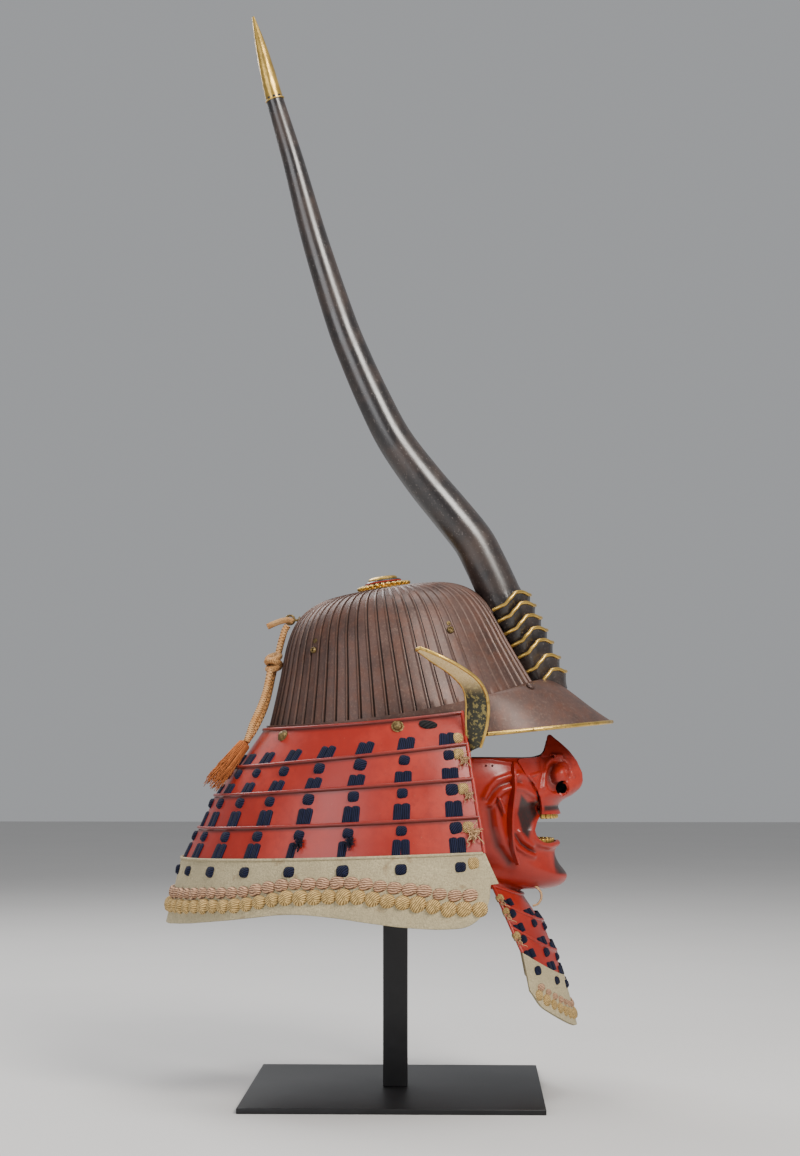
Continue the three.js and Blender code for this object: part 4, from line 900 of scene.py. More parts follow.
def neck_halves(row):
    neck = sizes("kabuto_neck")
    if row == 0:
        helmet = sizes("kabuto_helmet")
        return helmet.half_length + TOP_LAME_OUT, helmet.half_width + TOP_LAME_OUT
    return NECK_EDGES[row][0] * neck.reach, NECK_EDGES[row][1] * neck.half_width


def neck_turn(row, share):
    return share * math.acos(-sizes("kabuto_neck").front / neck_halves(row)[0])


def neck_place(row, share):
    """A place of a lame's edge in the helmet's frame: share runs from -1 to 1 round the back."""
    reach, width = neck_halves(row)
    _, _, back, front, sag = NECK_EDGES[row]
    turn = neck_turn(row, share)
    forwards = (1 - math.cos(turn)) / (1 - math.cos(neck_turn(row, 1)))
    drop = mix(back, front, forwards) + sag * math.sin(turn) ** 2
    if row == len(NECK_EDGES) - 1:
        drop += 0.2 * smoothstep(abs(share), 0.55, 0.95)
    return at(width * math.sin(turn), -reach * math.cos(turn), -drop * sizes("kabuto_neck").drop)


def neck_out(row, share):
    turn = neck_turn(row, share)
    return at(math.sin(turn), -math.cos(turn), 0)


def lame_edges(row, share):
    """The upper edge, the knee behind the next lame and the end of the lap."""
    inset = sizes("kabuto_neck").lame_wall + LAME_GAP
    top = neck_place(row, share)
    knee = neck_place(row + 1, share) - neck_out(row + 1, share) * inset
    after = neck_place(row + 2, share) - neck_out(row + 1, share) * inset
    return top, knee, knee + (after - neck_place(row + 1, share)).normalized() * LAME_LAP


def lame_spot(row, share, drop):
    """Place, direction along the lame and way out at a drop below a lame's upper edge."""
    if row < len(NECK_EDGES) - 2:
        top, knee, _ = lame_edges(row, share)
    else:
        top, knee = neck_place(row, share), neck_place(row + 1, share)
    slope = (knee - top).normalized()
    out = neck_out(row, share)
    out = (out - slope * out.dot(slope)).normalized()
    turn = Matrix.Rotation(-sizes("kabuto_helmet").tilt, 3, "X")
    return seated(top + slope * drop), turn @ slope, turn @ out


def neck_lame(row):
    neck = sizes("kabuto_neck")
    roll = neck.roll

    def place(u, v):
        share = 2 * u - 1
        top, knee, end = lame_edges(row, share)
        out = neck_out(row, share)
        centre = top + out * (roll * 0.25)
        if v < ROLL_END:
            angle = mix(ROLL_FROM, ROLL_TO, v / ROLL_END)
            return seated(centre + out * roll * math.cos(angle) + UP * roll * math.sin(angle))
        slope = (knee - top).normalized()
        shoulder = top + slope * roll * 1.4
        if v < LAP_START:
            return seated(shoulder.lerp(knee, (v - ROLL_END) / (LAP_START - ROLL_END)))
        return seated(knee.lerp(end, (v - LAP_START) / (1 - LAP_START)))

    lame = patch(f"lame_{row + 1}", LAME_COLUMNS, 20, place)
    # Painted shade under the rolled edge, row by row
    dirt = lame.data.attributes.new("dirt", "FLOAT", "POINT")
    for vertex in lame.data.vertices:
        level = vertex.index // (LAME_COLUMNS + 1)
        dirt.data[vertex.index].value = LAME_PAINTED_SHADE[min(level, len(LAME_PAINTED_SHADE) - 1)]
    clean(lame)
    wall(lame, neck.lame_wall, lambda spot: Vector((0, 0, spot.z)))
    smooth(lame, 50)
    beads = [lame]
    for side in SIDES:
        top, knee, end = lame_edges(row, side)
        points = [seated(top.lerp(knee, t) + neck_out(row, side) * 0.0004) for t in (0, 0.33, 0.66, 1)]
        points[0] = seated(top + UP * roll * 0.6)
        beads.append(tube("edge", points, roll * 1.05, 8, 12))
    piece = joined(f"lame_{row + 1}", beads)
    if row == 0:
        paint(piece, "scuff", lambda spot: 1 - smoothstep((spot - SCUFF).length, 0.003, 0.009))
    return finish_piece(piece, lacquer_material(), "red_lacquer", [f"neck_lame_{row + 1}"])


# Middle of the rubbed spot on the first lame
SCUFF = at(-0.114, -0.0777, 0.332)
LEATHER_CORNER = 0.034


def leather_edges(share):
    """The upper and lower edge of the leather lame, its front corners rounded."""
    row = len(NECK_EDGES) - 2
    top, low = neck_place(row, share), neck_place(row + 1, share)
    distance = (1 - abs(share)) * abs(neck_turn(row + 1, 1)) * sizes("kabuto_neck").reach
    hollow = clamp(1 - distance / LEATHER_CORNER)
    raised = LEATHER_CORNER * (1 - math.sqrt(1 - hollow * hollow))
    return top, low + (top - low).normalized() * raised


def leather_lame():
    neck = sizes("kabuto_neck")
    row = len(NECK_EDGES) - 2
    outward = neck.leather_wall - neck.lame_wall

    def place(u, v):
        even = 2 * u - 1
        share = mix(even, math.sin(even * 0.5 * math.pi), 0.55) * (1 + 0.0185 * v)
        top, low = leather_edges(share)
        spot = top.lerp(low, v) + neck_out(row, share) * outward
        ripple = 0.0007 * math.sin(share * 61) * math.sin(share * 23 + 2) * v
        return seated(spot + neck_out(row, share) * ripple)

    leather = patch("leather_lame", 170, 14, place)
    clean(leather)
    wall(leather, neck.leather_wall, lambda spot: Vector((0, 0, spot.z)))
    soften(leather, 0.0007, 2)
    smooth(leather, 60)
    shares = [mix(-0.995, 0.995, i / 40) for i in range(41)]
    points = [seated(neck_place(row, share) + neck_out(row, share) * outward) for share in shares]
    piece = joined("leather_lame", [leather, tube("hem", points, 0.0014, 8, 160)])
    return finish_piece(piece, leather_material(), "leather", ["neck_lame_5"])


# Lacing

LACE_FIRST = 0.08
LACE_PITCH = 0.1235
LACE_COUNT = 8
LACE_SHARES = [side * (LACE_FIRST + LACE_PITCH * i) for i in range(LACE_COUNT) for side in SIDES]


def strand_model():
    """One flat lacing strand: it comes out of its hole with a round end and runs down."""
    neck = sizes("kabuto_neck")
    width, run, thick = neck.strand_width, neck.strand_length, 0.0021

    def place(u, v):
        down = run * v ** 1.5
        round_end = clamp(down / (width * 0.34))
        half = 0.5 * width * (1 - (1 - round_end) ** 2.5) ** 0.4
        across = 2 * u - 1
        lift = thick * (1 - abs(across) ** 5) * math.sqrt(clamp(down / (width * 0.25)))
        return Vector((across * half, -down, lift - 0.0003))

    strand = patch("strand", 7, 8, place)
    smooth(strand, 60)
    return strand


def knot_model(width, height, thick, square):
    """A domed knot. Square runs from a round outline at 2 to a boxy one at 6."""

    def place(u, v):
        x, y = 2 * u - 1, 2 * v - 1
        reach = max(abs(x), abs(y))
        radius = (abs(x) ** square + abs(y) ** square) ** (1 / square) if reach else 1
        x, y = (x * reach / radius, y * reach / radius) if reach else (0, 0)
        dome = max(1 - reach ** 3.2, 0) ** 0.5 * (1 + 0.1 * math.sin(5 * x + 3 * y))
        lump = 1 + 0.05 * math.sin(2.3 * math.atan2(y, x) + 1) * reach
        return Vector((0.5 * width * x * lump, 0.5 * height * y * lump, thick * dome - 0.0004))

    knot = patch("knot", 8, 8, place)
    smooth(knot, 70)
    return knot


def jittered(matrix, chance, turn=0.14, size=0.1):
    """A slightly turned and resized place, as hand-made knots have."""
    scale = 1 + chance.uniform(-size, size)
    spin = Matrix.Rotation(chance.uniform(-turn, turn), 4, "Z")
    return matrix @ spin @ Matrix.Diagonal((scale, scale, 1, 1))


# How much of a strand shows on each lame, as a share of its length
STRAND_SHOWN = (0.9, 0.78, 1.05, 1.0)
# Columns of the lacing whose outer strand on the last lame is torn
TORN = (-(LACE_FIRST + 4 * LACE_PITCH), -(LACE_FIRST + 5 * LACE_PITCH))


def strip_drop(row, share):
    """How far below a lame's upper edge its strands start, so that they end behind the next lame."""
    top, knee, _ = lame_edges(row, share)
    return (knee - top).length - sizes("kabuto_neck").strand_length * STRAND_SHOWN[row] + 0.0008


def lacing_strands():
    neck = sizes("kabuto_neck")
    chance = random.Random(4)
    places, frayed = [], []
    for row in range(4):
        for share in LACE_SHARES:
            pitch = (neck_place(row + 1, share + 0.01) - neck_place(row + 1, share - 0.01)).length / 0.02
            for side in SIDES:
                beside = share + side * 0.455 * neck.strand_width / pitch
                spot, slope, out = lame_spot(row, beside, strip_drop(row, beside))
                right = out.cross(slope)
                if row == 3 and share in TORN and side < 0:
                    frayed.append(frame_at(spot + slope * 0.001 + out * 0.0015, right, out))
                    continue
                shown = Matrix.Diagonal((1, STRAND_SHOWN[row] + chance.uniform(0, 0.04), 1, 1))
                spin = Matrix.Rotation(chance.uniform(-0.04, 0.04), 4, "Z")
                places.append(frame_at(spot, right, out) @ spin @ shown)
    tuft = tuft_model("tuft", 34, 0.0072, 9)
    finish_piece(copied("torn_navy_tufts", tuft, frayed), silk("navy silk"), "navy_silk")
    return finish_piece(copied("navy_strands", strand_model(), places), silk("navy silk"), "navy_silk")


def lacing_knots():
    neck = sizes("kabuto_neck")
    chance = random.Random(7)
    places = []
    for row in range(1, 5):
        for share in LACE_SHARES:
            drop, lift = (0.0085, 0.0) if row < 4 else (0.0115, neck.leather_wall - neck.lame_wall)
            places.append(jittered(frame_on(lame_spot(row, share, drop), lift), chance))
    model = knot_model(neck.knot_size, neck.knot_size, 0.0034, 3.2)
    return finish_piece(copied("navy_knots", model, places), silk("navy knot silk"), "navy_silk")


# Height of the lower row of knots over the leather's lower edge, by the share round it
KNOT_HEIGHTS = [
    (0.0, 0.0170), (0.15, 0.0158), (0.3, 0.0145), (0.45, 0.0120), (0.6, 0.0145), (0.75, 0.0212),
    (0.85, 0.0215), (0.93, 0.0165), (1.0, 0.0125),
]
CROSS_KNOTS = 57
KNOT_ROW_GAP = 0.0122


def knot_height(share):
    share = abs(share)
    for (a, low), (b, high) in zip(KNOT_HEIGHTS, KNOT_HEIGHTS[1:]):
        if share <= b:
            return mix(low, high, smoothstep(share, a, b))
    return KNOT_HEIGHTS[-1][1]


def even_shares(edge, reach, count):
    """Shares along an edge that lie equally far apart."""
    steps = 400
    shares = [mix(-reach, reach, i / steps) for i in range(steps + 1)]
    places = [edge(share) for share in shares]
    lengths = [0.0]
    for a, b in zip(places, places[1:]):
        lengths.append(lengths[-1] + (b - a).length)
    found = []
    i = 0
    for k in range(count):
        goal = lengths[-1] * k / (count - 1)
        while i < steps - 1 and lengths[i + 1] < goal:
            i += 1
        found.append(mix(shares[i], shares[i + 1], (goal - lengths[i]) / (lengths[i + 1] - lengths[i])))
    return found


def leather_knots():
    neck = sizes("kabuto_neck")
    chance = random.Random(11)
    row = len(NECK_EDGES) - 2
    outward = neck.leather_wall - neck.lame_wall
    lower, upper = [], []
    shares = even_shares(lambda share: neck_place(row + 1, share), 0.972, 2 * CROSS_KNOTS - 1)
    for i, share in enumerate(shares):
        places, rise = ((lower, 0.0), (upper, KNOT_ROW_GAP))[i % 2]
        top, low = neck_place(row, share), neck_place(row + 1, share)
        drop = (low - top).length - knot_height(share) - rise
        places.append(jittered(frame_on(lame_spot(row, share, drop), outward), chance, 0.2, 0.06))
    size = neck.cross_knot
    round_model = knot_model(size, size * 1.02, 0.0056, 2.3)
    finish_piece(copied("cream_knots", round_model, lower), silk("cream silk"), "cream_silk")
    flat_model = knot_model(size * 0.94, size * 0.86, 0.0042, 2.4)
    finish_piece(copied("pink_knots", flat_model, upper), silk("faded pink silk"), "cream_silk")


def any_way(chance, *spans):
    """A vector drawn at random, with one (low, high) span for each axis."""
    return Vector([chance.uniform(low, high) for low, high in spans])


def tuft_model(name, threads, reach, seed, radius=0.0006):
    """A frayed tuft of silk threads that bend every way from its foot."""
    chance = random.Random(seed)
    full = (-1, 1)
    pieces = []
    for _ in range(threads):
        aim = any_way(chance, full, full, (0.15, 0.9)).normalized()
        bend = any_way(chance, full, (-1.4, 0.6), (-0.5, 0.5)) * 0.5
        run = reach * chance.uniform(0.5, 1)
        start = any_way(chance, full, full).to_3d() * reach * 0.3
        curl = any_way(chance, full, full, full) * reach * 0.22
        points = [
            start + aim * run * t + bend * run * t * t + curl * math.sin(9 * t)
            for t in (0, 0.2, 0.4, 0.6, 0.8, 1)
        ]
        pieces.append(tube(name, points, radius, 4, 8, lambda t: 1 - 0.5 * t))
    return joined(name, pieces)


def front_tufts():
    """Gold knots beside the foremost lacing, with frayed tufts under them."""
    neck = sizes("kabuto_neck")
    knots, tufts = [], []
    for row in range(5):
        for side in SIDES:
            share = side * (0.9725 if row else 0.977)
            drop = 0.0085 if row else strip_drop(0, side * 0.945) + 0.007
            spot, slope, out = lame_spot(row, share, drop)
            right = out.cross(slope)
            front = right if right.y < 0 else -right
            knots.append(frame_at(spot + out * (0.0012 if row == 4 else 0), right, out))
            if 1 <= row <= 3:
                size = (0, 0.9, 0.8, 1.25)[row]
                foot = spot + slope * 0.0062 + out * 0.001 + front * 0.0035
                tufts.append(frame_at(foot, right, out) @ Matrix.Diagonal((size, size, size, 1)))
    model = knot_model(neck.knot_size * 0.92, neck.knot_size * 1.02, 0.0034, 3)
    finish_piece(copied("gold_knots", model, knots), silk("cream silk"), "cream_silk")
    piece = copied("gold_tufts", tuft_model("tuft", 34, 0.0078, 3), tufts)
    finish_piece(piece, silk("frayed cream silk"), "cream_silk")
    ovals = [frame_on(lame_spot(0, side * 0.885, 0.0085)) for side in SIDES]
    model = knot_model(0.0185, 0.0095, 0.0022, 2.2)
    finish_piece(copied("black_lace_knots", model, ovals), black_cloth(), "navy_silk")


RIM_RIVETS = (-0.78, -0.33, 0.33, 0.78)


def rim_rivets():
    for i, share in enumerate(RIM_RIVETS):
        top, knee, _ = lame_edges(0, share)
        spot, _, out = lame_spot(0, share, (knee - top).length * 0.21)
        radius = 0.0044
        rivet = turned("rivet", [
            (0, 0), (radius * 1.25, 0.0002), (radius * 1.3, 0.0009), (radius * 1.02, 0.0013),
            (radius * 0.95, 0.0024), (radius * 0.72, 0.0036), (radius * 0.35, 0.0043), (0, 0.0045),
        ], spot, out, 20)
        shank = tube("shank", [spot - out * d for d in (0.009, 0.006, 0.003, 0.0)], 0.0016, 10, 4)
        piece = joined(f"brass_rivet_{i + 1}", [rivet, shank])
        finish_piece(piece, brass_material(), "gilt", [f"rim_rivet_{i + 1}"])


# Visor

VISOR_REACH = 0.119
VISOR_HALF_WIDTH = 0.098
VISOR_SPREAD = math.radians(54)
VISOR_DROP = 0.046
VISOR_ARCH = 0.008
VISOR_WALL = 0.0022
VISOR_ROOT = BAND_GROW + BAND_WALL + 0.0004 + VISOR_WALL


def visor_lean(turn, level):
    return at(math.sin(turn), math.cos(turn), level).normalized()


def visor_place(share, t):
    helmet = sizes("kabuto_helmet")
    turn = share * VISOR_SPREAD
    sweep = share * 0.5 * math.pi
    root = rim_place(turn, VISOR_ROOT, 0.003)
    rim = at(
        VISOR_HALF_WIDTH * math.sin(sweep),
        helmet.half_length * math.cos(VISOR_SPREAD) + VISOR_REACH * math.cos(sweep),
        -VISOR_DROP * mix(0.8, 0.95, math.cos(sweep)),
    )
    swell = math.sin(math.pi * t ** 0.6) * max(1 - t, 0) ** 0.8
    bulge = 0.8 * VISOR_ARCH * swell * mix(0.3, 1, math.cos(sweep))
    return root.lerp(rim, t) + visor_lean(turn, 1) * bulge


def visor():
    plate = patch("visor_plate", 72, 20, lambda u, v: seated(visor_place(2 * u - 1, v)))
    clean(plate)
    low = seated(at(0, 0.05, -0.2))
    wall(plate, VISOR_WALL, lambda spot: low)
    smooth(plate, 50)
    finish_piece(plate, iron_material(), "russet_iron", ["visor"])
    points = []
    for i in range(25):
        share = i / 12 - 1
        sweep = share * 0.5 * math.pi
        out = at(math.sin(sweep), math.cos(sweep), -0.3).normalized()
        edge = visor_place(share, 1) - visor_lean(share * VISOR_SPREAD, 1.6) * VISOR_WALL * 0.5
        points.append(seated(edge + out * 0.0012))
    rim = tube("visor_gold_rim", points, 0.0019, 12, 140)
    finish_piece(rim, gold_material(), "gilt", ["visor_rim"])
    for word, side in NAMED_SIDES:
        share = side * 31 / 54
        lean = visor_lean(share * VISOR_SPREAD, 1)
        foot = seated(visor_place(share, 0.12) + lean * 0.0001)
        axis = seated(visor_place(share, 0.12) + lean) - foot
        radius = 0.0044
        rivet = turned("rivet", [
            (0, 0), (radius, 0.0001), (radius, 0.0007), (radius * 0.86, 0.0016), (radius * 0.5, 0.0023),
            (0, 0.0026),
        ], foot, axis, 20)
        rivet.name = f"visor_dome_{word}"
        finish_piece(rivet, iron_material(), "russet_iron", [f"visor_rivet_{word}"])


# Horn

# Rise, lean and width of the horn's stations, as shares of its rise and of its width
HORN_STATIONS = [
    (-0.03, 0.008, 0.96), (0.05, -0.015, 1.0), (0.105, -0.031, 1.0), (0.143, -0.041, 1.0),
    (0.181, -0.052, 0.99), (0.212, -0.063, 0.98), (0.258, -0.089, 0.96), (0.306, -0.117, 0.92),
    (0.368, -0.148, 0.85), (0.429, -0.168, 0.81), (0.489, -0.184, 0.765), (0.549, -0.197, 0.725),
    (0.668, -0.215, 0.63), (0.786, -0.228, 0.51), (0.876, -0.24, 0.42), (0.921, -0.2445, 0.35),
    (0.955, -0.2475, 0.26), (1.0, -0.252, 0.06),
]
HORN_SEAT = 0.136
HORN_TIP = 0.879
COLLAR_LIPS = [0.115, 0.099, 0.0785, 0.061, 0.0445, 0.024, 0.0065]
COLLAR_SWEEP = math.radians(118)


def horn_station(rise):
    """Centre, direction and width at a share of the rise, in the helmet's frame."""
    horn = sizes("kabuto_horn")
    rises = [station[0] for station in HORN_STATIONS]
    i = max(k for k in range(len(rises) - 1) if rises[k] <= rise or k == 0)
    t = (i + (rise - rises[i]) / (rises[i + 1] - rises[i])) / (len(rises) - 1)

    def centre(t):
        up, lean, _ = smooth_row(HORN_STATIONS, clamp(t))
        return at(0, horn.foot_forward + lean * horn.rise, horn.foot_up + up * horn.rise)

    way = (centre(t + 0.004) - centre(t - 0.004)).normalized()
    return centre(t), way, smooth_row(HORN_STATIONS, clamp(t))[2] * horn.width


def horn_place(rise, turn, grow=0.0, shift=0.0):
    centre, way, width = horn_station(rise)
    front = Vector((0, -way.z, way.y))
    front_ridge = 0.035 * math.exp(-((turn / 0.16) ** 2))
    side_ridge = 0.02 * math.exp(-(((abs(turn) - 1.5) / 0.2) ** 2))
    ridge = 1 + front_ridge + side_ridge
    radius = 0.5 * width * ridge + grow
    ray = front * math.cos(turn) + Vector((0.94 * math.sin(turn), 0, 0))
    return seated(centre + way * shift + ray * radius)


def horn_length(name, low, high, rows, rough=0.0):
    def place(u, v):
        turn = (2 * u - 1) * math.pi
        rise = mix(low, high, v)
        wobble = rough * math.sin(9 * turn + 60 * rise) * math.sin(170 * rise)
        return horn_place(rise, turn, wobble)

    piece = patch(name, 40, rows, place)
    clean(piece, 1e-6, fill=True)
    smooth(piece, 50)
    return piece


def horn():
    shaft = horn_length("horn_shaft", HORN_SEAT - 0.02, HORN_TIP, 120)
    finish_piece(shaft, black_material(), "black_lacquer", ["horn"])
    tip = horn_length("horn_gold_tip", HORN_TIP - 0.004, 1.0, 30, 0.0001)
    finish_piece(tip, gold_material("bright gold", 0.2), "gilt", ["horn_tip"])
    points = [horn_place(HORN_TIP - 0.003, mix(-math.pi, math.pi, i / 12), 0.0003) for i in range(13)]
    finish_piece(tube("tip_seam", points, 0.0008, 8, 48), gold_material("bright gold", 0.2), "gilt")
    foot = horn_length("horn_core", -0.005, HORN_SEAT, 30, 0.0005)
    finish_piece(foot, black_material(), "black_lacquer", ["horn_foot"])


# A collar's lip: turn from the front in degrees and height over its level there
LIP_WAVE = [
    (0, -0.0030), (18, -0.0022), (40, 0.0022), (56, 0.0040), (72, 0.0012), (90, -0.0026), (118, -0.0030),
]


def lip_wave(degrees):
    for (a, low), (b, high) in zip(LIP_WAVE, LIP_WAVE[1:]):
        if degrees <= b:
            return mix(low, high, smoothstep(degrees, a, b))
    return LIP_WAVE[-1][1]


def collar_place(lip, share, level, grow):
    """A place on a collar: share -1 to 1 round it, level 0 at its foot and 1 at its lip."""
    horn = sizes("kabuto_horn")
    turn = share * COLLAR_SWEEP
    wave = lip_wave(abs(math.degrees(turn)))
    flare = horn.collar_flare * level ** 1.6
    return horn_place(lip, turn, 0.001 + flare + grow, wave + mix(-horn.collar_height * 1.35, 0, level))


def horn_collars():
    black, gold = black_material(), gold_material("bright gold", 0.2)
    rims = []
    for i, lip in enumerate(COLLAR_LIPS):
        shell = patch("collar", 60, 10, lambda u, v, lip=lip: collar_place(lip, 2 * u - 1, v, 0))
        clean(shell)
        core = seated(horn_station(lip)[0])
        wall(shell, 0.0014, lambda spot: core)
        smooth(shell, 50)
        shell.name = f"collar_{i + 1}"
        finish_piece(shell, black, "black_lacquer", [f"horn_collar_{i + 1}"])
        points = [collar_place(lip, mix(-1, 1, k / 24), 1.02, -0.0004) for k in range(25)]
        rims.append(tube("rim", points, 0.0018, 8, 72))
    finish_piece(joined("collar_gold_rims", rims), gold, "gilt")


# Ears

# Rise, forward, side and width of an ear's sections, as shares of its height and width, and the turn of
# its broad face from straight ahead, in degrees
EAR_SECTIONS = [
    (0.0, -0.035, 0.0, 0.45, 70), (0.14, 0.0, 0.06, 0.8, 68), (0.32, 0.035, 0.11, 1.0, 62),
    (0.48, 0.045, 0.16, 0.98, 52), (0.62, 0.005, 0.24, 0.9, 38), (0.76, -0.115, 0.33, 0.8, 28),
    (0.89, -0.275, 0.4, 0.66, 24), (1.0, -0.415, 0.42, 0.28, 20),
]
EAR_HEIGHT = 0.096
EAR_WIDTH = 0.024
EAR_WALL = 0.0024
EAR_FOOT = -0.05


def ear_spot(side, t, across, out):
    """A place on an ear: t from its foot to its tip, across -1 to 1, out through its wall."""
    rise, forward, aside, width, face = smooth_row(EAR_SECTIONS, t)
    face = math.radians(face)
    _, _, _, seat_width, seat_face = EAR_SECTIONS[1]
    half = 0.5 * seat_width * EAR_WIDTH
    seat_forward = sizes("kabuto_neck").front + half * math.sin(math.radians(seat_face))
    centre = at(
        side * (neck_halves(0)[1] + 0.0028 + aside * EAR_HEIGHT),
        seat_forward + forward * EAR_HEIGHT,
        EAR_FOOT + rise * EAR_HEIGHT,
    )
    broad = at(side * math.cos(face), math.sin(face), 0.25).normalized()
    thin = at(side * math.sin(face), -math.cos(face), 0).normalized()
    cup = 0.0022 * across * across
    return seated(centre + broad * (0.5 * width * EAR_WIDTH * across) + thin * (out * EAR_WALL - cup))


def ear_material():
    """Printed leather lining: pale at the tip, and darker towards the foot in painted shade, where a
    dark scrolled print shows.
    """
    material, tree, shader, place = start_material("printed lining", 0.7)
    if tree:
        spot = place.outputs["Object"]
        scroll = grouped(tree, mottle_group(), spot, Scale=260.0, Low=0.53, High=0.58)
        nap = grouped(tree, mottle_group(), spot, Scale=700.0, Low=0.35, High=0.65)
        pale = blend_colour(tree, nap, (0.80, 0.62, 0.33), (0.60, 0.42, 0.17))
        dark = blend_colour(tree, scroll, (0.022, 0.022, 0.012), (0.20, 0.16, 0.05))
        # Painted light and shade: pale where lit at the top, dark towards the shaded foot, where the
        # print shows
        mixed = blend_colour(tree, attribute(tree, "lining"), pale, dark)
        link(tree, mixed, shader.inputs["Base Color"])
        bump(tree, shader, nap, 0.4, 0.0004)
    return material


def ears():
    gold = gold_material()
    for word, side in NAMED_SIDES:
        plate = patch("ear", 16, 60, lambda u, v, side=side: ear_spot(side, v, 2 * u - 1, 0.5))
        clean(plate)
        thin = ear_spot(side, 0.4, 0, 5)
        wall(plate, EAR_WALL, lambda spot, thin=thin: spot - (thin - ear_spot(side, 0.4, 0, 0)))
        smooth(plate, 60)
        foot = ear_spot(side, 0.5, 0, 0)
        low, high = foot.z - 0.006, foot.z + 0.014
        # Painted light and shade by height: pale above, painted shade towards the foot
        paint(plate, "lining", lambda spot, low=low, high=high: 1 - smoothstep(spot.z, low, high))
        plate.name = f"ear_plate_{word}"
        finish_piece(plate, ear_material(), "russet_iron", [f"ear_{word}"])
        rims = []
        for edge in (1, -1):
            points = [ear_spot(side, t / 24, edge * 1.02, 0.1) for t in range(25)]
            rims.append(tube("rim", points, 0.0016, 10, 90))
        inner = [ear_spot(side, t / 24, 0.82, -0.55) for t in range(1, 24)]
        rims.append(tube("rim", inner, 0.0006, 8, 90))
        tip = [ear_spot(side, 1.0, mix(-1.05, 1.05, k / 6), 0.1) for k in range(7)]
        rims.append(tube("rim", tip, 0.0016, 10, 12))
        finish_piece(joined(f"ear_gold_{word}", rims), gold, "gilt", [f"ear_rim_{word}"])


# Mask

# Level, half width, front, rear, fullness and rear lift of the mask's sections from its upper edge down:
# shares of its height, half width and depth
MASK_SECTIONS = [
    (1.0, 0.93, 0.6, 0.0, 2.3, 0.0), (0.89, 0.985, 0.62, 0.0, 2.5, 0.0),
    (0.775, 1.0, 0.61, 0.01, 2.5, 0.0), (0.65, 0.97, 0.6, 0.02, 2.2, 0.0),
    (0.51, 0.94, 0.69, 0.06, 2.0, 0.02), (0.405, 0.9, 0.775, 0.09, 1.9, 0.05),
    (0.33, 0.86, 0.74, 0.08, 2.0, 0.07), (0.255, 0.82, 0.77, 0.09, 2.0, 0.09),
    (0.165, 0.75, 0.845, 0.11, 2.0, 0.12), (0.1, 0.69, 0.8, 0.13, 2.0, 0.14),
    (0.066, 0.64, 0.66, 0.14, 2.0, 0.12), (0.058, 0.605, 0.44, 0.14, 2.0, 0.1),
    (0.0, 0.6, 0.43, 0.15, 2.0, 0.09),
]
# Level, front, half width and fall of the nose's bulge, from the bridge to the upper lip, and how far
# back the nose piece's edge lies there: shares of its height and of the mask's depth
NOSE_SECTIONS = [
    (1.0, 0.71, 0.2, 1.2, 0.692), (0.955, 0.745, 0.25, 1.2, 0.685), (0.91, 0.785, 0.3, 1.3, 0.678),
    (0.85, 0.832, 0.38, 1.4, 0.667), (0.79, 0.875, 0.46, 1.5, 0.652),
    (0.735, 0.905, 0.53, 1.5, 0.615), (0.715, 0.917, 0.55, 1.6, 0.57),
    (0.7, 0.922, 0.57, 1.6, 0.44), (0.665, 0.94, 0.62, 1.6, 0.41), (0.6, 0.96, 0.68, 1.6, 0.44),
    (0.52, 0.985, 0.77, 1.5, 0.47), (0.46, 0.99, 0.81, 1.4, 0.50), (0.4, 0.99, 0.86, 1.2, 0.535),
    (0.32, 0.965, 0.9, 1.0, 0.575), (0.24, 0.90, 0.94, 0.85, 0.602),
    (0.17, 0.815, 0.97, 0.8, 0.612), (0.1, 0.775, 1.0, 0.75, 0.619),
    (0.05, 0.782, 0.97, 0.75, 0.621), (0.0, 0.795, 0.92, 0.75, 0.622),
]


def mask_place(t, turn):
    mask = sizes("kabuto_mask")
    level, half, front, rear, full, lift = smooth_row(MASK_SECTIONS, t)
    power = 2 / full
    sine = math.sin(turn)
    side = half * mask.half_width * math.copysign(abs(sine) ** power, sine)
    depth = max(math.cos(turn), 0) ** power
    forward = mask.rear + (mask.front - mask.rear) * mix(rear, front, depth)
    return at(side, forward, mask.floor + (level + lift * (1 - math.cos(turn))) * mask.height)


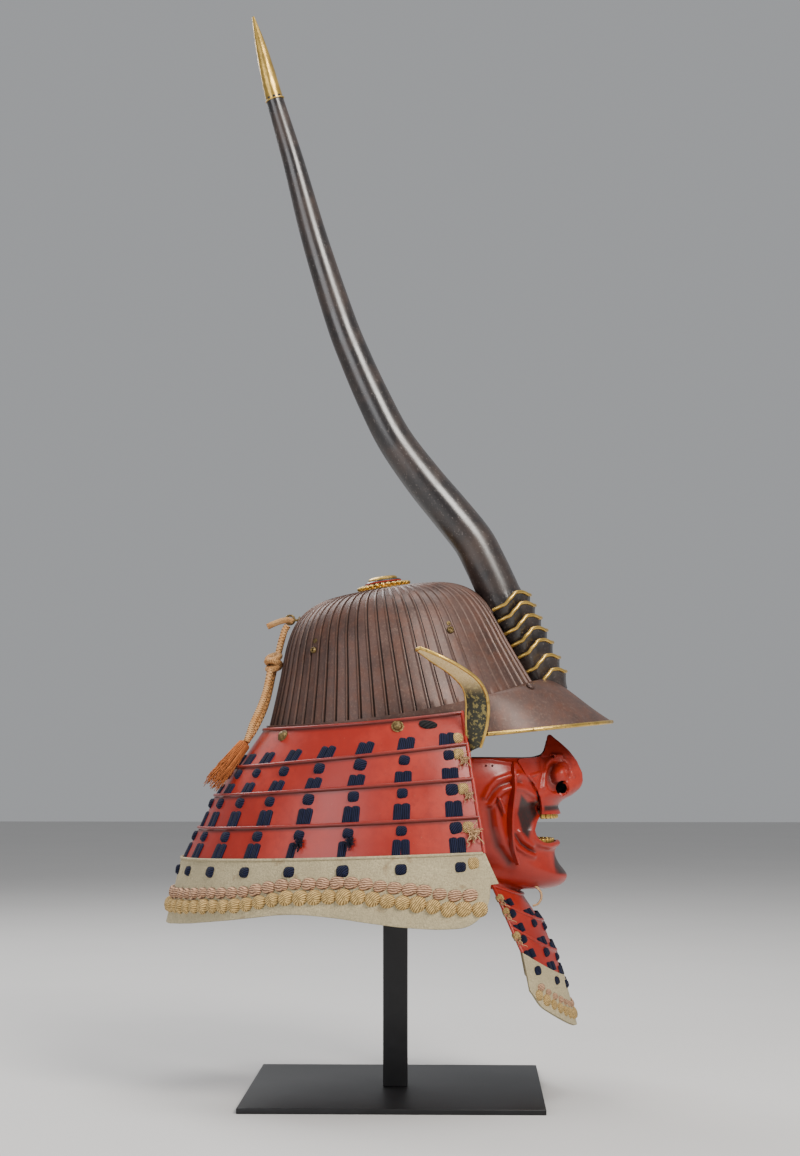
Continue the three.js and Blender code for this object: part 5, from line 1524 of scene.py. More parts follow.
# Raised and sunken lines of the mask, seen from its side: (forward, up) points, half width and height
CHEEK_LINES = [
    ([
        (0.0849, 0.2794), (0.0896, 0.2886), (0.0958, 0.2948),
        (0.1074, 0.2986), (0.115, 0.2985),
    ], 0.0026, 0.0024),
    ([
        (0.0875, 0.276), (0.0925, 0.284), (0.0985, 0.2895),
        (0.1073, 0.2925), (0.118, 0.2928),
    ], 0.0022, -0.0016),
    ([
        (0.0895, 0.2725), (0.0955, 0.28), (0.102, 0.2855), (0.112, 0.2885),
        (0.121, 0.2868), (0.13, 0.2805), (0.136, 0.272),
    ], 0.003, 0.0026),
    ([(0.1153, 0.3005), (0.1223, 0.299), (0.1292, 0.295)], 0.0022, 0.0016),
    ([(0.1098, 0.2405), (0.1151, 0.2321), (0.1229, 0.2267), (0.1298, 0.2236)], 0.0026, 0.0028),
    ([(0.113, 0.2435), (0.118, 0.2355), (0.125, 0.2302), (0.131, 0.2272)], 0.002, -0.002),
    ([(0.1176, 0.2462), (0.1215, 0.239), (0.1285, 0.2336)], 0.0024, 0.0022),
    ([(0.0895, 0.2672), (0.0913, 0.2518), (0.0964, 0.2334), (0.1071, 0.2189)], 0.004, -0.002),
    ([(0.0955, 0.2672), (0.0975, 0.2518), (0.1024, 0.2354), (0.1121, 0.2229)], 0.005, 0.002),
    ([
        (0.1375, 0.2615), (0.1318, 0.2554), (0.1285, 0.2474), (0.1308, 0.2394),
        (0.1376, 0.2343), (0.1454, 0.2325), (0.154, 0.2345), (0.158, 0.2350),
    ], 0.003, 0.0026),
    ([(0.074, 0.3135), (0.09, 0.3132), (0.104, 0.3112), (0.114, 0.3095)], 0.0016, 0.0012),
]
NOSE_LINES = [
    ([
        (0.1402, 0.2875), (0.1410, 0.298), (0.1438, 0.3085), (0.1505, 0.3165),
        (0.1585, 0.3165), (0.1650, 0.3085), (0.1685, 0.297),
    ], 0.0020, 0.0024),
    ([(0.1267, 0.2982), (0.1361, 0.3006), (0.1314, 0.2912), (0.1267, 0.2982)], 0.0013, 0.0016),
]
WHISKER_AREA = [
    (0.1185, 0.282), (0.1255, 0.2745), (0.1349, 0.2748), (0.1362, 0.2635), (0.1293, 0.2542),
    (0.1262, 0.2388), (0.1192, 0.246), (0.1145, 0.2635),
]
CHIN_AREA = [(0.1500, 0.2255), (0.1560, 0.2200), (0.1650, 0.2040), (0.1500, 0.2060)]
LIP_HAIR_AREA = [(0.1405, 0.2705), (0.1640, 0.2715), (0.1640, 0.2655), (0.1405, 0.2645)]


def line_distance(spot, points):
    best = 1.0
    for a, b in zip(points, points[1:]):
        ax, ay = a
        dx, dy = b[0] - ax, b[1] - ay
        t = clamp(((spot[0] - ax) * dx + (spot[1] - ay) * dy) / (dx * dx + dy * dy))
        best = min(best, math.hypot(spot[0] - ax - t * dx, spot[1] - ay - t * dy))
    return best


def inside(spot, area):
    """How far a spot lies inside an outline, as 0 outside to 1 inside, soft at the edge."""
    crossings = 0
    for a, b in zip(area, area[1:] + area[:1]):
        if (a[1] > spot[1]) != (b[1] > spot[1]):
            crossings += spot[0] < a[0] + (spot[1] - a[1]) * (b[0] - a[0]) / (b[1] - a[1])
    edge = line_distance(spot, area + area[:1])
    signed = edge if crossings % 2 else -edge
    return smoothstep(signed, -0.001, 0.002)


def relief(spot, lines):
    """The sum of raised and sunken lines at a (forward, up) spot."""
    height = 0.0
    for points, half, rise in lines:
        away = line_distance(spot, points)
        if away < 3 * half:
            height += rise * math.exp(-((away / half) ** 2))
    return height


def carve(piece, lines, extra=None):
    """Moves a piece's points along their normals by the relief of its lines, as seen from the side."""
    choose(piece)
    normals = [vertex.normal.copy() for vertex in piece.data.vertices]
    for vertex, normal in zip(piece.data.vertices, normals):
        spot = (-vertex.co.y, vertex.co.z)
        height = relief(spot, lines) * smoothstep(abs(vertex.co.x), 0.004, 0.014)
        if extra:
            height += extra(vertex.co)
        vertex.co += normal * height


def face_outwards(piece, middle):
    faces = piece.data.polygons
    outward = sum((face.center - middle).dot(face.normal) * face.area for face in faces)
    if outward < 0:
        choose(piece)
        bpy.ops.object.mode_set(mode="EDIT")
        bpy.ops.mesh.select_all(action="SELECT")
        bpy.ops.mesh.flip_normals()
        bpy.ops.object.mode_set(mode="OBJECT")


def prism(name, outline, forward_low, forward_high):
    """A closed prism along Y from an outline of (side, up) points, to cut with."""
    piece = added(bpy.ops.mesh.primitive_circle_add, vertices=len(outline), radius=1, fill_type="NGON")
    piece.name = name
    for vertex, (side, up) in zip(piece.data.vertices, outline):
        vertex.co = at(side, forward_low, up)
    bpy.ops.object.mode_set(mode="EDIT")
    bpy.ops.mesh.select_all(action="SELECT")
    depth = (0, -(forward_high - forward_low), 0)
    bpy.ops.mesh.extrude_region_move(TRANSFORM_OT_translate={"value": depth})
    bpy.ops.mesh.select_all(action="SELECT")
    bpy.ops.mesh.normals_make_consistent(inside=False)
    bpy.ops.object.mode_set(mode="OBJECT")
    return piece


def cut(piece, tool):
    apply_modifier(piece, "BOOLEAN", operation="DIFFERENCE", object=tool, solver="EXACT")
    bpy.data.objects.remove(tool)


# The mouth's outline from its upper to its lower middle, as (side, up)
MOUTH_EDGE = [
    (0, 0.2690), (0.0150, 0.2680), (0.0297, 0.2615), (0.0417, 0.2550), (0.0462, 0.2474),
    (0.0455, 0.2410), (0.0413, 0.2366), (0.0310, 0.2350), (0.0150, 0.2362), (0, 0.2368),
]


def mouth_outline():
    steps = 26
    half = [smooth_row(MOUTH_EDGE, i / steps) for i in range(steps + 1)]
    return half + [(-side, up) for side, up in reversed(half[1:-1])]


def whiskers(spot):
    seen = (-spot.y, spot.z)
    patch_share = inside(seen, WHISKER_AREA) if abs(spot.x) > 0.03 else 0.0
    return max(patch_share, inside(seen, CHIN_AREA) * (1 - smoothstep(abs(spot.x), 0.022, 0.034)))


def face_shell():
    mask = sizes("kabuto_mask")
    shell = patch("mask_shell", 200, 190, lambda u, v: mask_place(v, (u - 0.5) * math.pi))
    clean(shell)
    middle = at(0, mask.rear, mask.floor + 0.5 * mask.height)
    face_outwards(shell, middle)
    carve(shell, CHEEK_LINES)
    wall(shell, mask.wall, lambda spot: at(0, mask.rear, spot.z))
    cut(shell, prism("mouth", mouth_outline(), mask.rear + 0.03, mask.front + 0.02))
    for forward, up in ((0.0858, 0.3079), (0.0919, 0.3079)):
        for side in SIDES:
            cut(shell, added(
                bpy.ops.mesh.primitive_cylinder_add, vertices=16, radius=0.0011, depth=0.03,
                rotation=(0, math.pi / 2, 0), location=at(side * 0.07, forward, up),
            ))
    smooth(shell, 50)
    paint(shell, "whiskers", whiskers)
    # Painted shade in the sunken lines of the cheeks
    paint(shell, "dirt", lambda spot: clamp(-relief((-spot.y, spot.z), CHEEK_LINES) / 0.0018))
    return finish_piece(shell, lacquer_material(), "red_lacquer", ["mask"])


def mask_forward(side, up):
    """How far forward the mask's face stands at a side distance and a height."""
    mask = sizes("kabuto_mask")
    level = (up - mask.floor) / mask.height
    i = 0
    while i < len(MASK_SECTIONS) - 2 and MASK_SECTIONS[i + 1][0] > level:
        i += 1
    a, b = MASK_SECTIONS[i], MASK_SECTIONS[i + 1]

    def forward(section):
        share = min(abs(side) / (section[1] * mask.half_width), 1)
        depth = (1 - share ** section[4]) ** (1 / section[4])
        return mask.rear + (mask.front - mask.rear) * mix(section[3], section[2], depth)

    return mix(forward(a), forward(b), clamp((level - a[0]) / (b[0] - a[0])))


WING_CENTRE = (0.1580, 0.3010)
WING_HALF = (0.0075, 0.0100)
HOLLOW_CENTRE = (0.1530, 0.2965)
HOLLOW_HALF = (0.0105, 0.0160)
NOSTRIL = (0.1590, 0.2862)
NOSTRIL_HALF = (0.0064, 0.0072)


def nose_forward(side, up, front, half, fall):
    """The cheek's surface with the nose's bulge on it."""
    mask = sizes("kabuto_mask")
    level = min(up, mask.floor + 0.97 * mask.height)
    cheek = mask_forward(side, level) + mask.wall + 0.0006
    middle = mask_forward(0, level) + mask.wall + 0.0006
    across = min(abs(side) / (half * mask.nose_half_width), 1)
    return cheek + (front - middle) * (1 - across ** 1.8) ** fall


def nose_row(t):
    """Height of a row of the nose piece, its bulge and the half width where its rear edge lies."""
    mask = sizes("kabuto_mask")
    level, front, half, fall, rear = smooth_row(NOSE_SECTIONS, t)
    up = mask.nose_floor + level * mask.nose_height
    depth = mask.front - mask.rear
    front, rear = mask.rear + depth * front, mask.rear + depth * rear
    edge = 0.0
    while edge < 0.062 and nose_forward(edge, up, front, half, fall) > rear:
        edge += 0.0003
    return up, front, half, fall, edge


def nose_place(share, row):
    up, front, half, fall, edge = row
    side = math.copysign(abs(share) ** 1.15, share) * edge
    return at(side, nose_forward(side, up, front, half, fall), up)


def oval(spot, centre, half):
    x = (-spot.y - centre[0]) / half[0]
    y = (spot.z - centre[1]) / half[1]
    return max(1 - x * x - y * y, 0)


def wing(spot):
    """The rounded nostril wing that swells out of a hollow at the side of the nose."""
    ball = 0.0100 * oval(spot, WING_CENTRE, WING_HALF) ** 0.6
    hollow = 0.0062 * smoothstep(oval(spot, HOLLOW_CENTRE, HOLLOW_HALF), 0, 0.4)
    return (ball - hollow) * smoothstep(abs(spot.x), 0.003, 0.010)


def nose_painted_shade(spot):
    """Painted shade in the hollow beside the nostril wing, which leaves the wing itself unshaded."""
    hollow = smoothstep(oval(spot, HOLLOW_CENTRE, HOLLOW_HALF), 0.05, 0.6)
    clear = smoothstep(oval(spot, WING_CENTRE, WING_HALF), 0, 0.35)
    return 0.85 * hollow * (1 - clear) * smoothstep(abs(spot.x), 0.004, 0.009)


def open_nostrils(shell):
    """Take out the faces of both nostrils, then draw the edges that are left to a clean oval."""
    model = bmesh.new()
    model.from_mesh(shell.data)

    def reach(spot):
        x = (-spot.y - NOSTRIL[0]) / NOSTRIL_HALF[0]
        return math.hypot(x, (spot.z - NOSTRIL[1]) / NOSTRIL_HALF[1])

    def within(spot):
        return abs(spot.x) > 0.004 and reach(spot) < 1

    gone = [face for face in model.faces if all(within(vertex.co) for vertex in face.verts)]
    bmesh.ops.delete(model, geom=gone, context="FACES")
    for vertex in model.verts:
        share = reach(vertex.co)
        if share < 1 and any(edge.is_boundary for edge in vertex.link_edges):
            vertex.co.y = -(NOSTRIL[0] + (-vertex.co.y - NOSTRIL[0]) / share)
            vertex.co.z = NOSTRIL[1] + (vertex.co.z - NOSTRIL[1]) / share
    model.to_mesh(shell.data)
    model.free()


def nose_piece():
    mask = sizes("kabuto_mask")
    rows = [nose_row(i / 160) for i in range(161)]
    shell = patch("nose_shell", 180, 160, lambda u, v: nose_place(2 * u - 1, rows[round(v * 160)]))
    clean(shell)
    middle = at(0, mask.rear, mask.nose_floor + 0.5 * mask.nose_height)
    face_outwards(shell, middle)
    carve(shell, NOSE_LINES, wing)
    open_nostrils(shell)
    wall(shell, mask.wall, lambda spot: at(0, mask.rear, spot.z))
    smooth(shell, 50)
    paint(shell, "whiskers", lambda spot: inside((-spot.y, spot.z), LIP_HAIR_AREA))
    # Painted shade in the hollow beside each nostril wing
    paint(shell, "dirt", nose_painted_shade)
    # Black plugs behind the nostril holes: painted shade, so that the holes look dark inside
    plugs = []
    for side in SIDES:
        plug = added(bpy.ops.mesh.primitive_uv_sphere_add, segments=20, ring_count=12, radius=1)
        size = (0.0022, NOSTRIL_HALF[0] * 1.15, NOSTRIL_HALF[1] * 1.15, 1)
        plug.data.transform(Matrix.Translation(at(side * 0.0062, *NOSTRIL)) @ Matrix.Diagonal(size))
        plugs.append(plug)
    finish_piece(joined("nostril_hollows", plugs), black_cloth(), "black_lacquer")
    return finish_piece(shell, lacquer_material(), "red_lacquer", ["nose_piece"])


FLANGE_LINE = [
    (0.1105, 0.3118), (0.1100, 0.3000), (0.1096, 0.2860), (0.1075, 0.2700), (0.1066, 0.2560),
    (0.1073, 0.2420), (0.1098, 0.2290), (0.1150, 0.2160),
]


def cheek_side(forward, up):
    """How far to the side the mask's face stands at a forward place and a height."""
    side = 0.0
    while side < sizes("kabuto_mask").half_width and mask_forward(side, up) > forward:
        side += 0.0005
    return side


def cheek_flanges():
    for word, side in NAMED_SIDES:
        feet = [at(side * (cheek_side(f, u) + 0.0004), f, u) for f, u in FLANGE_LINE]

        def place(u, v, feet=feet, side=side):
            foot = along(feet, v)
            ray = at(side * 0.82, 0.57, 0)
            height = 0.0078 * math.sin(math.pi * clamp(v * 0.96 + 0.02)) ** 0.35
            return foot + ray * mix(-0.002, height, u)

        flange = patch(f"cheek_ridge_{word}", 6, 60, place)
        clean(flange)
        apply_modifier(flange, "SOLIDIFY", thickness=0.0024, offset=0)
        clean(flange)
        soften(flange, 0.0008, 3)
        smooth(flange, 60)
        finish_piece(flange, lacquer_material(), "red_lacquer", [f"cheek_flange_{word}"])


def mask_details():
    """The curved pegs on the cheeks and the studs beside the nose."""
    pieces = []
    for side in SIDES:
        outline = ((0.0950, 0.2800), (0.0985, 0.2772), (0.1010, 0.2715), (0.1030, 0.2645))
        points = [
            at(side * (cheek_side(f, u) + lift), f, u)
            for (f, u), lift in zip(outline, (-0.001, 0.0045, 0.0052, 0.0048))
        ]
        pieces.append(tube("peg", points, 0.0019, 10, 20, lambda t: 1 - 0.25 * t))
        foot = at(side * (cheek_side(0.139, 0.2849) + 0.002), 0.139, 0.2849)
        pieces.append(turned("stud", [
            (0, 0), (0.0021, 0), (0.002, 0.0012), (0.0012, 0.0018), (0, 0.002),
        ], foot, at(side, 0.6, 0.2), 14))
    finish_piece(joined("mask_pegs", pieces), lacquer_material(), "red_lacquer")


TOOTH_COUNT = 11
TEETH_SWEEP = math.radians(75)
TEETH_HALF = 0.026
TEETH_DEPTH = 0.022


def tooth_model():
    tooth = added(bpy.ops.mesh.primitive_cube_add, size=1)
    tooth.data.transform(Matrix.Diagonal((0.0049, 0.0034, 0.0064, 1)))
    apply_modifier(tooth, "BEVEL", width=0.0011, segments=3)
    smooth(tooth, 60)
    return tooth


def teeth():
    mask = sizes("kabuto_mask")
    depth = mask.front - mask.rear
    upper = mask.rear + depth * NOSE_SECTIONS[-1][1] - mask.wall - 0.0018
    lower = mask.rear + depth * MASK_SECTIONS[5][2] - mask.wall - 0.0034
    lip = mask.floor + MASK_SECTIONS[5][0] * mask.height
    for name, front, up in (
        ("teeth_upper", upper, mask.nose_floor - 0.0014),
        ("teeth_lower", lower, lip - 0.0002),
    ):
        places = []
        for i in range(TOOTH_COUNT):
            turn = mix(-TEETH_SWEEP, TEETH_SWEEP, (i + 0.5) / TOOTH_COUNT)
            spot = at(TEETH_HALF * math.sin(turn), front - TEETH_DEPTH * (1 - math.cos(turn)), up)
            places.append(Matrix.Translation(spot) @ Matrix.Rotation(turn, 4, "Z"))
        piece = copied(f"gold_{name}", tooth_model(), places)
        finish_piece(piece, gold_material("bright gold", 0.2), "gilt", [name])


# Throat guard

# Front, rear, half width, drop and end drop of the throat guard's edges, as shares of its sizes
THROAT_EDGES = [
    (0.0, 0.0, None, -0.03, -0.03), (0.37, 0.1, 0.76, 0.17, 0.08), (0.62, 0.28, 0.84, 0.4, 0.25),
    (0.76, 0.5, 0.92, 0.585, 0.44), (1.0, 0.62, 1.0, 0.97, 0.78),
]


def throat_edge(row, share):
    mask = sizes("kabuto_mask")
    front, rear, half, drop, end_drop = THROAT_EDGES[row]
    _, edge_half, edge_front, edge_rear, _, edge_lift = MASK_SECTIONS[-1]
    turn = share * 0.5 * math.pi
    out = 0.0026
    depth = mask.front - mask.rear
    width = edge_half * mask.half_width + out if half is None else half * mask.throat_half_width
    ahead = mask.rear + depth * edge_front + out + front * mask.throat_reach
    behind = mask.rear + depth * edge_rear + rear * mask.throat_reach
    fall = mix(drop, end_drop, 1 - math.cos(turn)) * mask.throat_drop
    lift = edge_lift * mask.height * (1 - math.cos(turn))
    return at(width * math.sin(turn), mix(behind, ahead, math.cos(turn)), mask.floor + lift - fall)


def throat_out(share):
    turn = share * 0.5 * math.pi
    return at(math.sin(turn), math.cos(turn), 0)


def throat_spot(row, share, drop):
    top, low = throat_edge(row, share), throat_edge(row + 1, share)
    slope = (low - top).normalized()
    out = throat_out(share)
    return top + slope * drop, slope, (out - slope * out.dot(slope)).normalized()


THROAT_SPREAD = 0.92


def throat_lame(row):
    neck = sizes("kabuto_neck")
    roll = neck.roll
    last = row == len(THROAT_EDGES) - 2

    def place(u, v):
        share = (2 * u - 1) * THROAT_SPREAD
        top, low = throat_edge(row, share), throat_edge(row + 1, share)
        out = throat_out(share)
        if last:
            corner = 0.008 * smoothstep(abs(share), 0.72, THROAT_SPREAD) ** 2
            low = low + UP * corner
            return top.lerp(low, v) + out * 0.0012
        if v < ROLL_END:
            angle = mix(ROLL_FROM, ROLL_TO, v / ROLL_END)
            return top + out * roll * (0.25 + math.cos(angle)) + UP * roll * math.sin(angle)
        knee = low - out * (neck.lame_wall + LAME_GAP)
        shoulder = top + (knee - top).normalized() * roll * 1.4
        return shoulder.lerp(knee + (low - top).normalized() * 0.004, (v - ROLL_END) / (1 - ROLL_END))

    lame = patch("throat", 60, 18, place)
    clean(lame)
    wall(lame, neck.leather_wall if last else neck.lame_wall, lambda spot: at(0, 0.05, spot.z))
    smooth(lame, 50)
    pieces = [lame]
    if not last:
        for side in SIDES:
            share = side * THROAT_SPREAD
            points = [
                throat_edge(row, share).lerp(throat_edge(row + 1, share), t) + throat_out(share) * 0.0003
                for t in (0, 0.33, 0.66, 1)
            ]
            pieces.append(tube("edge", points, roll, 8, 10))
    piece = joined(f"throat_{row + 1}", pieces)
    material, slot = (leather_material(), "leather") if last else (lacquer_material(), "red_lacquer")
    return finish_piece(piece, material, slot, [f"throat_lame_{row + 1}"])


def throat_lacing():
    neck = sizes("kabuto_neck")
    chance = random.Random(19)
    strands, knots, gold, tufts = [], [], [], []
    for row in range(3):
        for share in (-0.8, -0.46, -0.15, 0.15, 0.46, 0.8):
            top, low = throat_edge(row, share), throat_edge(row + 1, share)
            run = (low - top).length
            spot, slope, out = throat_spot(row, share, max(run - 0.0088, 0.001))
            right = out.cross(slope)
            for side in SIDES:
                middle = spot + right * side * neck.strand_width * 0.33
                scale = Matrix.Diagonal((0.66, 0.55, 0.85, 1))
                strands.append(frame_at(middle, right, out) @ scale)
            if row:
                knots.append(jittered(frame_on(throat_spot(row, share, 0.0065)), chance))
        for side in SIDES:
            spot, slope, out = throat_spot(row, side * 0.895, 0.008 if row else 0.014)
            gold.append(jittered(frame_on((spot, slope, out), 0.0003), chance))
            tufts.append(frame_on((spot + slope * 0.006, slope, out), 0.001))
    last = len(THROAT_EDGES) - 2
    for share in (-0.75, -0.45, -0.15, 0.15, 0.45, 0.75):
        knots.append(jittered(frame_on(throat_spot(last, share, 0.0095), 0.0012), chance))
    finish_piece(copied("throat_strands", strand_model(), strands), silk("navy silk"), "navy_silk")
    knot = knot_model(neck.knot_size * 0.7, neck.knot_size * 0.8, 0.0028, 3)
    finish_piece(copied("throat_knots", knot, knots), silk("navy knot silk"), "navy_silk")
    knot = knot_model(neck.knot_size * 0.66, neck.knot_size * 0.75, 0.003, 3)
    finish_piece(copied("throat_gold_knots", knot, gold), silk("cream silk"), "cream_silk")
    piece = copied("throat_tufts", tuft_model("tuft", 16, 0.005, 5), tufts)
    finish_piece(piece, silk("frayed cream silk"), "cream_silk")
    lower, upper = [], []
    count = 17
    for i in range(count):
        for places, shift, height in ((lower, 0.0, 0.0100), (upper, 0.5, 0.0195)):
            share = mix(-0.80, 0.80, (i + shift) / (count - 0.5))
            top, low = throat_edge(last, share), throat_edge(last + 1, share)
            spot = throat_spot(last, share, (low - top).length - height)
            places.append(jittered(frame_on(spot, 0.0012), chance, 0.2))
    size = neck.cross_knot * 0.6
    model = knot_model(size, size * 1.3, 0.0032, 2.4)
    finish_piece(copied("throat_cream_knots", model, lower), silk("cream silk"), "cream_silk")
    flat = knot_model(size * 0.95, size * 0.85, 0.0026, 2.4)
    finish_piece(copied("throat_pink_knots", flat, upper), silk("faded pink silk"), "cream_silk")
    points = [
        at(-0.028, 0.1262, 0.1985), at(-0.029, 0.1330, 0.1945), at(-0.029, 0.1375, 0.1890),
        at(-0.029, 0.1378, 0.1830), at(-0.029, 0.1345, 0.1780), at(-0.030, 0.1300, 0.1765),
    ]
    finish_piece(tube("chin_loop", points, 0.0011, 8, 40), silk("frayed cream silk"), "cream_silk")


# Cord at the back, laid along the same points as its solids

CORD_DIAMETER = 0.0064
CORD_ROUTE = [
    (0, -0.1040, 0.4420), (0, -0.1069, 0.4372), (0, -0.1088, 0.4310), (0, -0.1107, 0.4241),
    (-0.001, -0.1122, 0.4173), (-0.002, -0.1142, 0.4095), (-0.004, -0.1164, 0.4008),
    (-0.006, -0.1184, 0.3912), (-0.008, -0.1202, 0.3815), (-0.010, -0.1222, 0.3719),
    (-0.012, -0.1249, 0.3626), (-0.015, -0.1285, 0.3533), (-0.019, -0.1326, 0.3442),
    (-0.022, -0.1372, 0.3362), (-0.025, -0.1429, 0.3282),
]
LOOP_ROUTE = [
    (-0.0127, -0.1193, 0.3996), (-0.0155, -0.1216, 0.3862), (-0.018, -0.1240, 0.3756),
    (-0.0212, -0.1272, 0.3654), (-0.0245, -0.1310, 0.3559), (-0.0276, -0.1349, 0.3466),
    (-0.0295, -0.1376, 0.3378), (-0.0311, -0.1401, 0.3301),
]
STUB_ROUTE = [
    (0.0, -0.0990, 0.4455), (-0.001, -0.1030, 0.4470), (-0.002, -0.1080, 0.4465),
    (-0.003, -0.1130, 0.4450), (-0.004, -0.1190, 0.4425), (-0.005, -0.1230, 0.4405),
]
KNOT_PLACE = (-0.0075, -0.1168, 0.407)
TASSEL_HEAD = (-0.028, -0.142, 0.3284)
TASSEL_SLOPE = (-0.31, -0.58, -0.755)


def route_length(route):
    places = [along([at(*point) for point in route], i / 400) for i in range(401)]
    return sum((b - a).length for a, b in zip(places, places[1:])), places


def cord_knot():
    """An overhand knot: turns of the cord wound round each other."""
    centre = at(*KNOT_PLACE)
    pieces = []
    for lift, radius, tilt in ((0.0035, 0.0056, 0.5), (-0.0015, 0.0062, -0.35), (-0.0062, 0.0052, 0.3)):
        points = []
        for i in range(13):
            turn = i / 12 * 2 * math.pi
            height = lift + tilt * radius * math.cos(turn + 0.6)
            points.append(centre + Vector((radius * math.cos(turn), radius * math.sin(turn), height)))
        pieces.append(tube("turn", points, 0.0031, 10, 48, ends=False))
    return finish_piece(joined("knot_turns", pieces), cord_silk(), "cord_silk", ["cord_knot"])


def cord_tassel():
    """The frayed end: a bound head and loose threads that fan out."""
    head, slope = at(*TASSEL_HEAD), at(*TASSEL_SLOPE).normalized()
    chance = random.Random(23)
    aside = slope.orthogonal().normalized()
    other = slope.cross(aside)
    pieces = [tube("head", [head + slope * d for d in (0.0, 0.005, 0.010, 0.016)], 0.0052, 16, 12)]
    for _ in range(190):
        turn = chance.uniform(0, 2 * math.pi)
        spread = math.sqrt(chance.random())
        ray = aside * math.cos(turn) + other * math.sin(turn)
        run = 0.054 * chance.uniform(0.55, 1.0)
        points = [
            head + slope * (0.001 + run * t)
            + ray * mix(0.6 + 0.4 * spread, spread, t) * mix(0.0056, 0.0086, t)
            + any_way(chance, (-1, 1), (-1, 1), (-1, 1)) * 0.0012 * t
            for t in (0, 0.3, 0.6, 0.85, 1)
        ]
        pieces.append(tube("thread", points, 0.0006, 4, 8, lambda t: 1 - 0.5 * t))
    piece = joined("frayed_tassel", pieces)
    return finish_piece(piece, silk("frayed orange silk"), "cord_silk", ["cord_tassel"])


def ring_at_back():
    low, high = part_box("back_ring")
    centre = Vector((0, high.y - 0.0054, (low.z + high.z) / 2))
    points = []
    for i in range(17):
        turn = i / 16 * 2 * math.pi
        points.append(centre + Vector((0, 0.0042 * math.cos(turn), 0.0042 * math.sin(turn))))
    ring = tube("ring", points, 0.0012, 10, 48, ends=False)
    start = Vector((0, low.y, centre.z - 0.001))
    end = centre - Vector((0, 0.004, 0))
    stem = tube("stem", [start.lerp(end, t) for t in (0, 0.33, 0.66, 1)], 0.0012, 10, 8)
    plate = turned("ring_plate", [(0, 0), (0.0042, 0), (0.0044, 0.0009), (0.003, 0.0018), (0, 0.002)],
                   start + Vector((0, 0.0015, 0)), Vector((0, 1, 0.15)), 16)
    finish_piece(joined("ring_and_stem", [ring, stem, plate]), brass_material(), "gilt", ["back_ring"])


def cords():
    knot = cord_knot()
    tassel = cord_tassel()
    run, places = route_length(CORD_ROUTE)
    cord = tube("main_cord", [at(*point) for point in CORD_ROUTE], CORD_DIAMETER / 2, 14, 90)
    finish_piece(cord, cord_silk(), "cord_silk", ["back_cord"])
    stub = tube("cut_stub", [at(*point) for point in STUB_ROUTE], 0.0029, 14, 30)
    finish_piece(stub, cord_silk(), "cord_silk")
    run, places = route_length(LOOP_ROUTE)
    loop = tube("second_strand", [at(*point) for point in LOOP_ROUTE], CORD_DIAMETER / 2, 14, 60)
    finish_piece(loop, cord_silk(), "cord_silk", ["back_cord_loop"])


# Stand


def boxed(name, low, high, bevel):
    piece = added(bpy.ops.mesh.primitive_cube_add, size=1)
    piece.name = name
    size = high - low
    piece.data.transform(Matrix.Translation((low + high) / 2) @ Matrix.Diagonal((*size, 1)))
    apply_modifier(piece, "BEVEL", width=bevel, segments=3)
    smooth(piece, 40)
    return piece


def stand():
    paint_coat = stand_material()
    plate = boxed("plate", PLATE_LOW, PLATE_HIGH, 0.0008)
    finish_piece(plate, paint_coat, "stand_black", ["stand_plate"])
    post = boxed("post", POST_LOW - Vector((0, 0, 0.0004)), POST_HIGH - Vector((0, 0, 0.004)), 0.0012)
    finish_piece(post, paint_coat, "stand_black", ["stand_post"])
    for name in ("stand_cap", "mask_arm"):
        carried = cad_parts[name]
        carried.data.materials.clear()
        carried.data.materials.append(paint_coat)


# Camera, lights and floor

VIEW_DISTANCE = 2.16
VIEW_HEIGHT = 0.332
VIEW_SHIFT = 0.0043
VIEW_PITCH = math.radians(4.12)
VIEW_YAW = math.radians(1.56)
PHOTO_FOCAL = 2246.0
PHOTO_HEIGHT = 1156.0


def camera():
    ahead = Vector((math.cos(VIEW_YAW), math.sin(VIEW_YAW), 0))
    place = Vector((0, -VIEW_SHIFT, VIEW_HEIGHT)) - ahead * VIEW_DISTANCE
    aim = ahead * math.cos(VIEW_PITCH) + UP * math.sin(VIEW_PITCH)
    turn = aim.to_track_quat("-Z", "Y").to_euler()
    made = added(bpy.ops.object.camera_add, location=place, rotation=turn)
    made.data.sensor_fit = "AUTO"
    made.data.sensor_width = 36
    made.data.lens = 36 * PHOTO_FOCAL / PHOTO_HEIGHT
    made.data.clip_end = 50
    bpy.context.scene.camera = made


# Name, place, what it looks at, size, power and colour of each light
LIGHTS = [
    ("key", (-1.6, -1.1, 1.7), (0, 0, 0.35), 0.8, 62, (1.0, 0.96, 0.9)),
    ("fill", (-1.9, 1.6, 0.9), (0, 0, 0.3), 1.2, 24, (0.96, 0.97, 1.0)),
    ("back", (1.4, 1.0, 1.9), (0, 0, 0.5), 1.2, 34, (1.0, 1.0, 1.0)),
    ("top", (0.1, -0.3, 2.4), (0, 0, 0.4), 1.2, 26, (1.0, 0.99, 0.97)),
]


def lights():
    for name, place, target, size, power, tint in LIGHTS:
        turn = (Vector(target) - Vector(place)).to_track_quat("-Z", "Y").to_euler()
        lamp = added(bpy.ops.object.light_add, type="AREA", location=place, rotation=turn)
        lamp.name = f"light_{name}"
        lamp.data.size = size
        lamp.data.energy = power
        lamp.data.color = tint
    world = bpy.data.worlds.new("studio")
    world.use_nodes = True
    world.node_tree.nodes["Background"].inputs["Color"].default_value = (0.9, 0.92, 0.95, 1)
    world.node_tree.nodes["Background"].inputs["Strength"].default_value = 0.4
    bpy.context.scene.world = world


